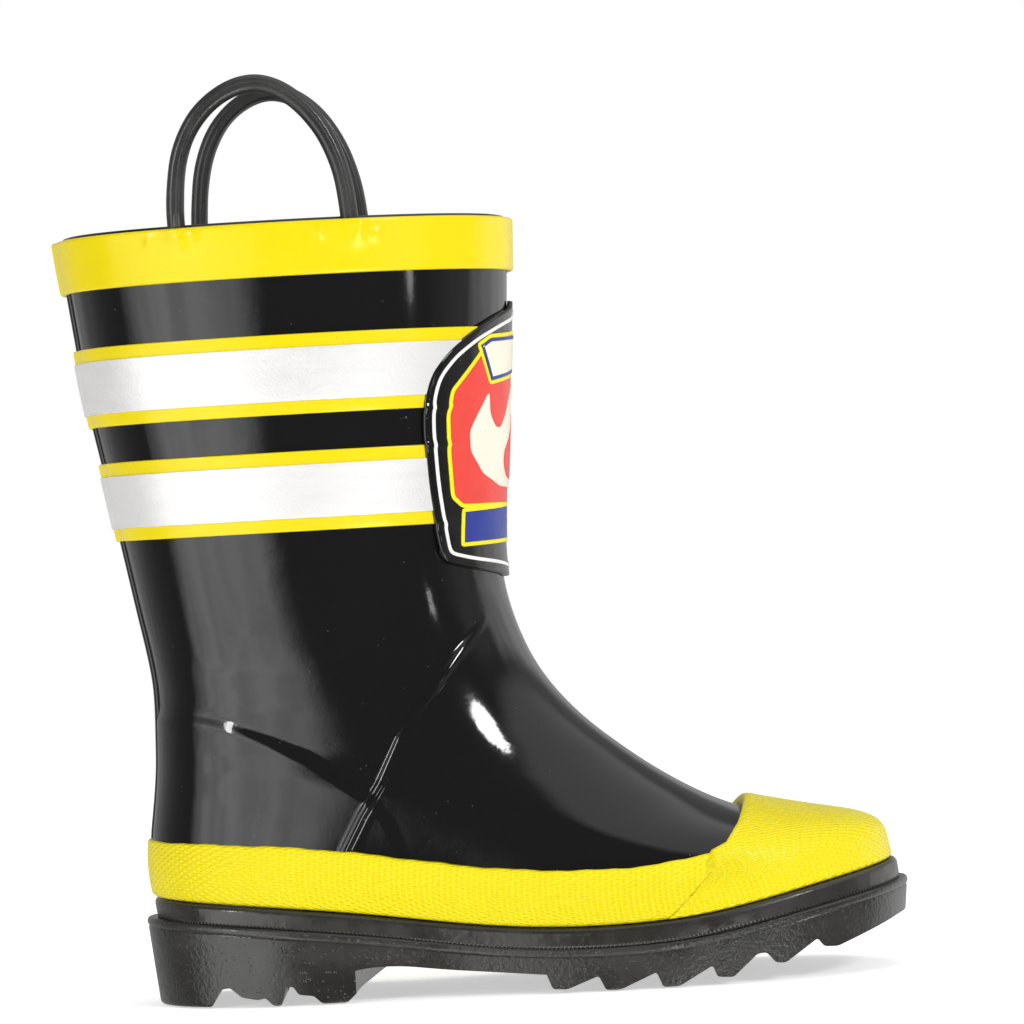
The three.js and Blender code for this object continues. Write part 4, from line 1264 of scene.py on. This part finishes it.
def make_badge():
    """The shield with its lines, which follow its swell, and the flat flame and plaque on the field."""
    follow = {"swell": badge_swell}
    badge_plate(
        "badge_base_rubber", "badge_base", "badge_black", [SHIELD_LOOP], BADGE, 0.55, spacing=0.9, **follow
    )
    outer = inset(SHIELD_LOOP, OUTLINE_INSET)
    inner = inset(SHIELD_LOOP, OUTLINE_INSET + OUTLINE_WIDTH)[::-1]
    badge_plate(
        "badge_outline_ink", "badge_outline", "badge_white", [outer, inner], INLAY, LINE_ROUND, **follow
    )
    for name, loop in {"field": FIELD_LOOP, "bar": BAR_LOOP, "plaque": PLAQUE_LOOP}.items():
        line = ribbon(loop, KEYLINE_WIDTH)
        key_name = "badge_keyline_" + name
        badge_plate(key_name, "badge_keyline", "badge_yellow", line, INLAY, LINE_ROUND, **follow)
    field, bar, border = (inset(loop, KEYLINE_WIDTH) for loop in (FIELD_LOOP, BAR_LOOP, PLAQUE_LOOP))
    badge_plate(
        "badge_field_ink", "badge_field", "badge_red", [field], (1.5, 1.85), 0.1, spacing=0.9, **follow
    )
    badge_plate("badge_bar_ink", "badge_bar", "badge_blue", [bar], (1.5, 1.9), 0.1, **follow)
    badge_plate("badge_flame_ink", "badge_flame", "badge_cream", [FLAME_LOOP], RAISED, 0.15, spacing=1.2)
    badge_plate(
        "badge_flame_heart", "badge_flame", "badge_red", [HEART_LOOP], (1.9, 2.28), LINE_ROUND, spacing=1.2
    )
    edge = ribbon(border, PLAQUE_BORDER)
    badge_plate("badge_plaque_border", "badge_plaque", "badge_blue", edge, RAISED, LINE_ROUND)
    middle = [inset(border, PLAQUE_BORDER)]
    badge_plate("badge_plaque_ink", "badge_plaque", "badge_cream", middle, (1.7, 2.1), 0.1)


# ---------- bands and tapes that stop at the badge ----------
BAND_TUCK = 1.0  # the bands run this far under the badge's edge


def badge_edge_angle(level):
    """The angle at one level where the bands end, under the badge's edge on the inner side."""
    angles = np.linspace(0.3, 1.4, 240)
    p = skin(level, angles)
    arcs = np.interp(angles, FRONT_ANGLES, front_arcs([level])[0])
    under = inside(np.column_stack([arcs, p[:, 2]]), [inset(SHIELD_LOOP, BAND_TUCK)])
    return float(angles[np.nonzero(under)[0][-1]])


def belt(name, heights, offsets, material, radius):
    """A band round the leg that stops at the badge."""
    n = 420
    edges = []
    for z in heights:
        level = float(level_at_height(np.array([0.7]), z)[0])
        stop = badge_edge_angle(level)
        ring = even_angles(n, level, stop, 2 * math.pi - stop)
        edges.append((level_at_height(ring, z), ring))
    radii = (radius, radius)
    return band(name, *edges, *offsets, material, radii=radii, rows=10, wrap=False, swell=strip_lift)


def make_belts():
    for name, middle in BANDS.items():
        rubber = belt(
            name + "_band_rubber", (middle - BAND_HALF, middle + BAND_HALF), BAND_OFFSETS, SMOOTH_YELLOW, 0.4
        )
        on_boot(rubber, "yellow_smooth", name + "_band")
        tape = belt(name + "_tape_film", (middle - TAPE_HALF, middle + TAPE_HALF), TAPE_OFFSETS, SILVER, 0.15)
        on_boot(tape, "reflective_tape", name + "_reflective_tape")


make_back_strip()
make_cuff()
make_badge()
make_belts()


# ---------- pull loops ----------
# The loop's middle line as [x, z], from its back end under the rim to its front end.
LOOP_LINE = [
    (-74.3, 198.0), (-74.4, 203.0), (-74.5, 208.0), (-74.3, 213.5), (-73.7, 219.0), (-72.6, 224.2),
    (-70.6, 229.2), (-67.6, 233.8), (-63.6, 237.7), (-57.4, 241.2), (-50.6, 242.3), (-44.4, 240.3),
    (-38.6, 236.0), (-34.2, 230.8), (-31.1, 225.2), (-29.0, 219.4), (-27.8, 213.5), (-27.2, 208.0),
    (-27.0, 203.0), (-26.9, 198.0),
]
# Each loop is bent its own way: how far its back and front leg lean along X, and how much taller it is.
LOOP_BEND = {"outer_handle": (0.2, -1.7, 0.4), "inner_handle": (1.7, -0.7, 4.4)}
GROOVE_DEPTH = 0.3


def leg_depth(x, z):
    """How far out a point of the loop lies: in the wall under the rim, and upright above it."""
    in_wall = np.interp(x, HANDLE_ROOTS_X, [37.3, 38.8])
    return in_wall + (HANDLE_Y - in_wall) * smooth_step(z - 206.5, 8)


def bent_line(name):
    """The loop's own middle line as [x, z]."""
    knots = np.array(LOOP_LINE, float)
    back, front, rise = LOOP_BEND[name]
    knots[:, 0] += np.interp(knots[:, 0], HANDLE_ROOTS_X, [back, front])
    knots[:, 1] += rise * smooth_step(knots[:, 1] - 224, 36)
    return knots


def leg_radius(turn):
    """The loop's section: nearly round, with a groove down the outer and the inner face."""
    grooves = sum(np.exp(-((np.abs(turn - middle) / 0.28) ** 2)) for middle in (math.pi / 2, 1.5 * math.pi))
    return HANDLE_RADIUS - GROOVE_DEPTH * grooves


def make_loop(name, side):
    knots = bent_line(name)
    run = running(step_lengths(knots))
    at = np.linspace(0, run[-1], 220)
    line = spline_at(run, knots, spline_slopes(run, knots), at)
    x, z = line.T
    centres = np.column_stack([x, side * leg_depth(x, z), z])
    ahead = np.gradient(centres, axis=0)
    ahead /= np.linalg.norm(ahead, axis=1, keepdims=True)
    outwards = np.cross(ahead, [0, 1.0, 0])
    outwards /= np.linalg.norm(outwards, axis=1, keepdims=True)
    across_loop = np.cross(ahead, outwards)
    turn = np.linspace(0, 2 * math.pi, 61)[:-1]
    swell = 1 + 0.012 * np.sin(at * 0.21 + side) + 0.008 * np.sin(at * 0.53)
    radius = leg_radius(turn)[None, :, None] * swell[:, None, None]
    cosine, sine = np.cos(turn)[:, None], np.sin(turn)[:, None]
    points = centres[:, None] + radius * (cosine * outwards[:, None] + sine * across_loop[:, None])
    faces = grid_faces(len(at), len(turn), wrap_cols=True)
    faces.append(list(range(len(turn)))[::-1])
    faces.append([(len(at) - 1) * len(turn) + i for i in range(len(turn))])
    piece = add_mesh(name + "_loop", points.reshape(-1, 3), faces, HANDLE_RUBBER)
    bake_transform(piece)
    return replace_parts(piece, name, name + "_back_end", name + "_front_end")


make_loop("outer_handle", -1)
make_loop("inner_handle", 1)


# ---------- floor, light and camera ----------
def make_floor():
    radius, height, n = 1.6, -0.0004, 96
    mesh = bpy.data.meshes.new("floor")
    turn = np.linspace(0, 2 * math.pi, n + 1)[:-1]
    rim = [(radius * math.cos(a), radius * math.sin(a), height) for a in turn]
    mesh.from_pydata(rim, [], [list(range(n))])
    floor = new_object("floor", mesh)
    s = Shader("pale_floor", Roughness=0.9, Emission_Strength=0.5)
    s.put(s.bsdf.inputs["Emission Color"], rgb(1, 1, 1))
    s.colour(rgb(0.9, 0.9, 0.9))
    mesh.materials.append(s.material)
    floor.visible_glossy = False


def soft_light(name, direction, distance, size, power, glossy=True):
    light = bpy.data.lights.new(name, "AREA")
    light.shape = "ELLIPSE"
    light.size, light.size_y = size
    light.energy = power
    lamp = new_object(name, light)
    towards = Vector(direction).normalized()
    lamp.location = Vector((0, 0, 0.12)) + towards * distance
    lamp.rotation_mode = "QUATERNION"
    lamp.rotation_quaternion = towards.to_track_quat("Z", "Y")
    lamp.visible_glossy = glossy


# What the glossy rubber mirrors, as degrees from the camera's side towards the toe, and brightness.
# A long pale panel stands in front of the heel, and the room behind the boot is pale.
ROOM = [
    (-180, 0.35), (-140, 0.5), (-118, 0.4), (-98, 0.2), (-79, 0.1), (-73, 1.2), (-64, 2.3), (-45, 2.6),
    (-28, 2.4), (-16, 1.9), (-4, 1.5), (18, 1.4), (24, 0.12), (58, 0.12), (72, 0.35), (91, 0.4), (98, 1.2),
    (125, 1.35), (150, 0.8), (180, 0.35),
]
ROOM_BRIGHTEST = 3.0
ROOM_DARKEST = 0.12
OVERHEAD = 1.0
CARD = 8.0  # the brightness of a white card on the table
AROUND = 0.55  # the even light that the matt surfaces get


def mirrored_room(n):
    """The brightness of the room in a direction, for mirrored rays."""
    direction = n.place.outputs["Generated"]
    parts = n.node("ShaderNodeSeparateXYZ", Vector=direction)
    x, y, z = (parts.outputs[axis] for axis in "XYZ")
    clouds = n.node("ShaderNodeTexNoise", Vector=direction, Scale=7.0, Detail=5.0)
    drift = n.times(n.math("SUBTRACT", clouds.outputs["Fac"], 0.5), 0.12)
    compass = n.plus(n.math("ARCTAN2", x, n.times(y, -1.0)), drift)
    share = n.plus(n.times(compass, 0.5 / math.pi), 0.5)
    wheel = n.node("ShaderNodeValToRGB", Fac=share)
    stops = wheel.color_ramp.elements
    for degrees, value in ROOM[1:-1]:
        stops.new((degrees + 180) / 360)
    for stop, (degrees, value) in zip(stops, ROOM):
        stop.position = (degrees + 180) / 360
        stop.color = rgb(*[(value - ROOM_DARKEST) / ROOM_BRIGHTEST] * 3)
    # The panel reaches furthest round towards the camera at the level of the eye.
    cut_back = n.math("MAXIMUM", n.times(z, 1.3), n.times(z, -0.35))
    panel = n.ramp(n.plus(compass, cut_back), -0.29, 1.0, -0.11, 0.0)
    past_camera = n.ramp(compass, 0.55, 1.0, 0.42, 0.0)
    cloudy = n.ramp(clouds.outputs["Fac"], 0.65, 1.15, 0.35, 0.85)
    light = n.times(wheel.outputs["Color"], cloudy)
    below_its_top = n.ramp(z, 0.44, 0.3, 0.26, 1.0)
    lit = n.times(n.times(light, below_its_top), n.math("MAXIMUM", panel, past_camera))
    # A white card lies on the table, in front of the toes.
    card = n.times(n.ramp(compass, 0.34, 1.0, 0.22, 0.0), n.ramp(compass, 0.66, 0.0, 0.50, 1.0))
    card = n.times(card, n.ramp(z, -0.25, 0.0, -0.31, CARD / ROOM_BRIGHTEST))
    lit = n.plus(lit, card)
    around = n.plus(n.times(lit, ROOM_BRIGHTEST), ROOM_DARKEST)
    # The light overhead reaches lower on the toe's side.
    overhead = n.ramp(n.plus(z, n.times(x, 0.35)), 0.88, 1.0, 0.74, 0.0)
    beside = n.times(around, n.math("SUBTRACT", 1.0, overhead))
    return n.plus(beside, n.times(overhead, OVERHEAD))


def make_world():
    """White behind the object, an even room for its matt surfaces, and a panelled one in its reflections."""
    world = bpy.data.worlds.new("studio")
    bpy.context.scene.world = world
    world.use_nodes = True
    n = Nodes(world.node_tree)
    plain, seen, mirrored = (
        n.node("ShaderNodeBackground", Color=rgb(1, 1, 1), Strength=strength)
        for strength in (AROUND, 1.0, mirrored_room(n))
    )
    path = n.node("ShaderNodeLightPath")
    shader = plain.outputs[0]
    for ray, other in (("Is Glossy Ray", mirrored), ("Is Camera Ray", seen)):
        choice = n.node("ShaderNodeMixShader", Fac=path.outputs[ray])
        n.put(choice.inputs[1], shader)
        n.put(choice.inputs[2], other.outputs[0])
        shader = choice.outputs[0]
    n.put(world.node_tree.nodes["World Output"].inputs["Surface"], shader)


def make_camera():
    data = bpy.data.cameras.new("camera")
    data.sensor_width = 36
    data.lens = 175.8
    camera = new_object("camera", data)
    tilt = math.radians(3.2)
    right = Vector((math.cos(tilt), 0, -math.sin(tilt)))
    up = Vector((math.sin(tilt), 0, math.cos(tilt)))
    back = Vector((0, -1, 0))
    turned = Matrix((right, up, back)).transposed().to_4x4()
    turned.translation = Vector(((9.46 + SHIFT_X) * MM, -1.350, 126.7 * MM))
    camera.matrix_world = turned
    bpy.context.scene.camera = camera


make_floor()
make_world()
# Direction, distance, size and power.
soft_light("key", (0.554, -0.693, 0.461), 1.5, (0.3, 0.3), 7.5)
soft_light("low_key", (0.725, -0.688, -0.01), 1.5, (0.1, 0.1), 0.14)
soft_light("heel_key", (-0.66, -0.66, 0.33), 1.5, (0.17, 0.5), 4)
soft_light("fill", (0.6, -0.75, 0.25), 1.6, (1.0, 1.0), 1.5, glossy=False)
soft_light("top", (0.15, 0.15, 0.98), 1.5, (0.8, 0.8), 5.0, glossy=False)
make_camera()
bpy.context.scene.view_settings.view_transform = "Standard"
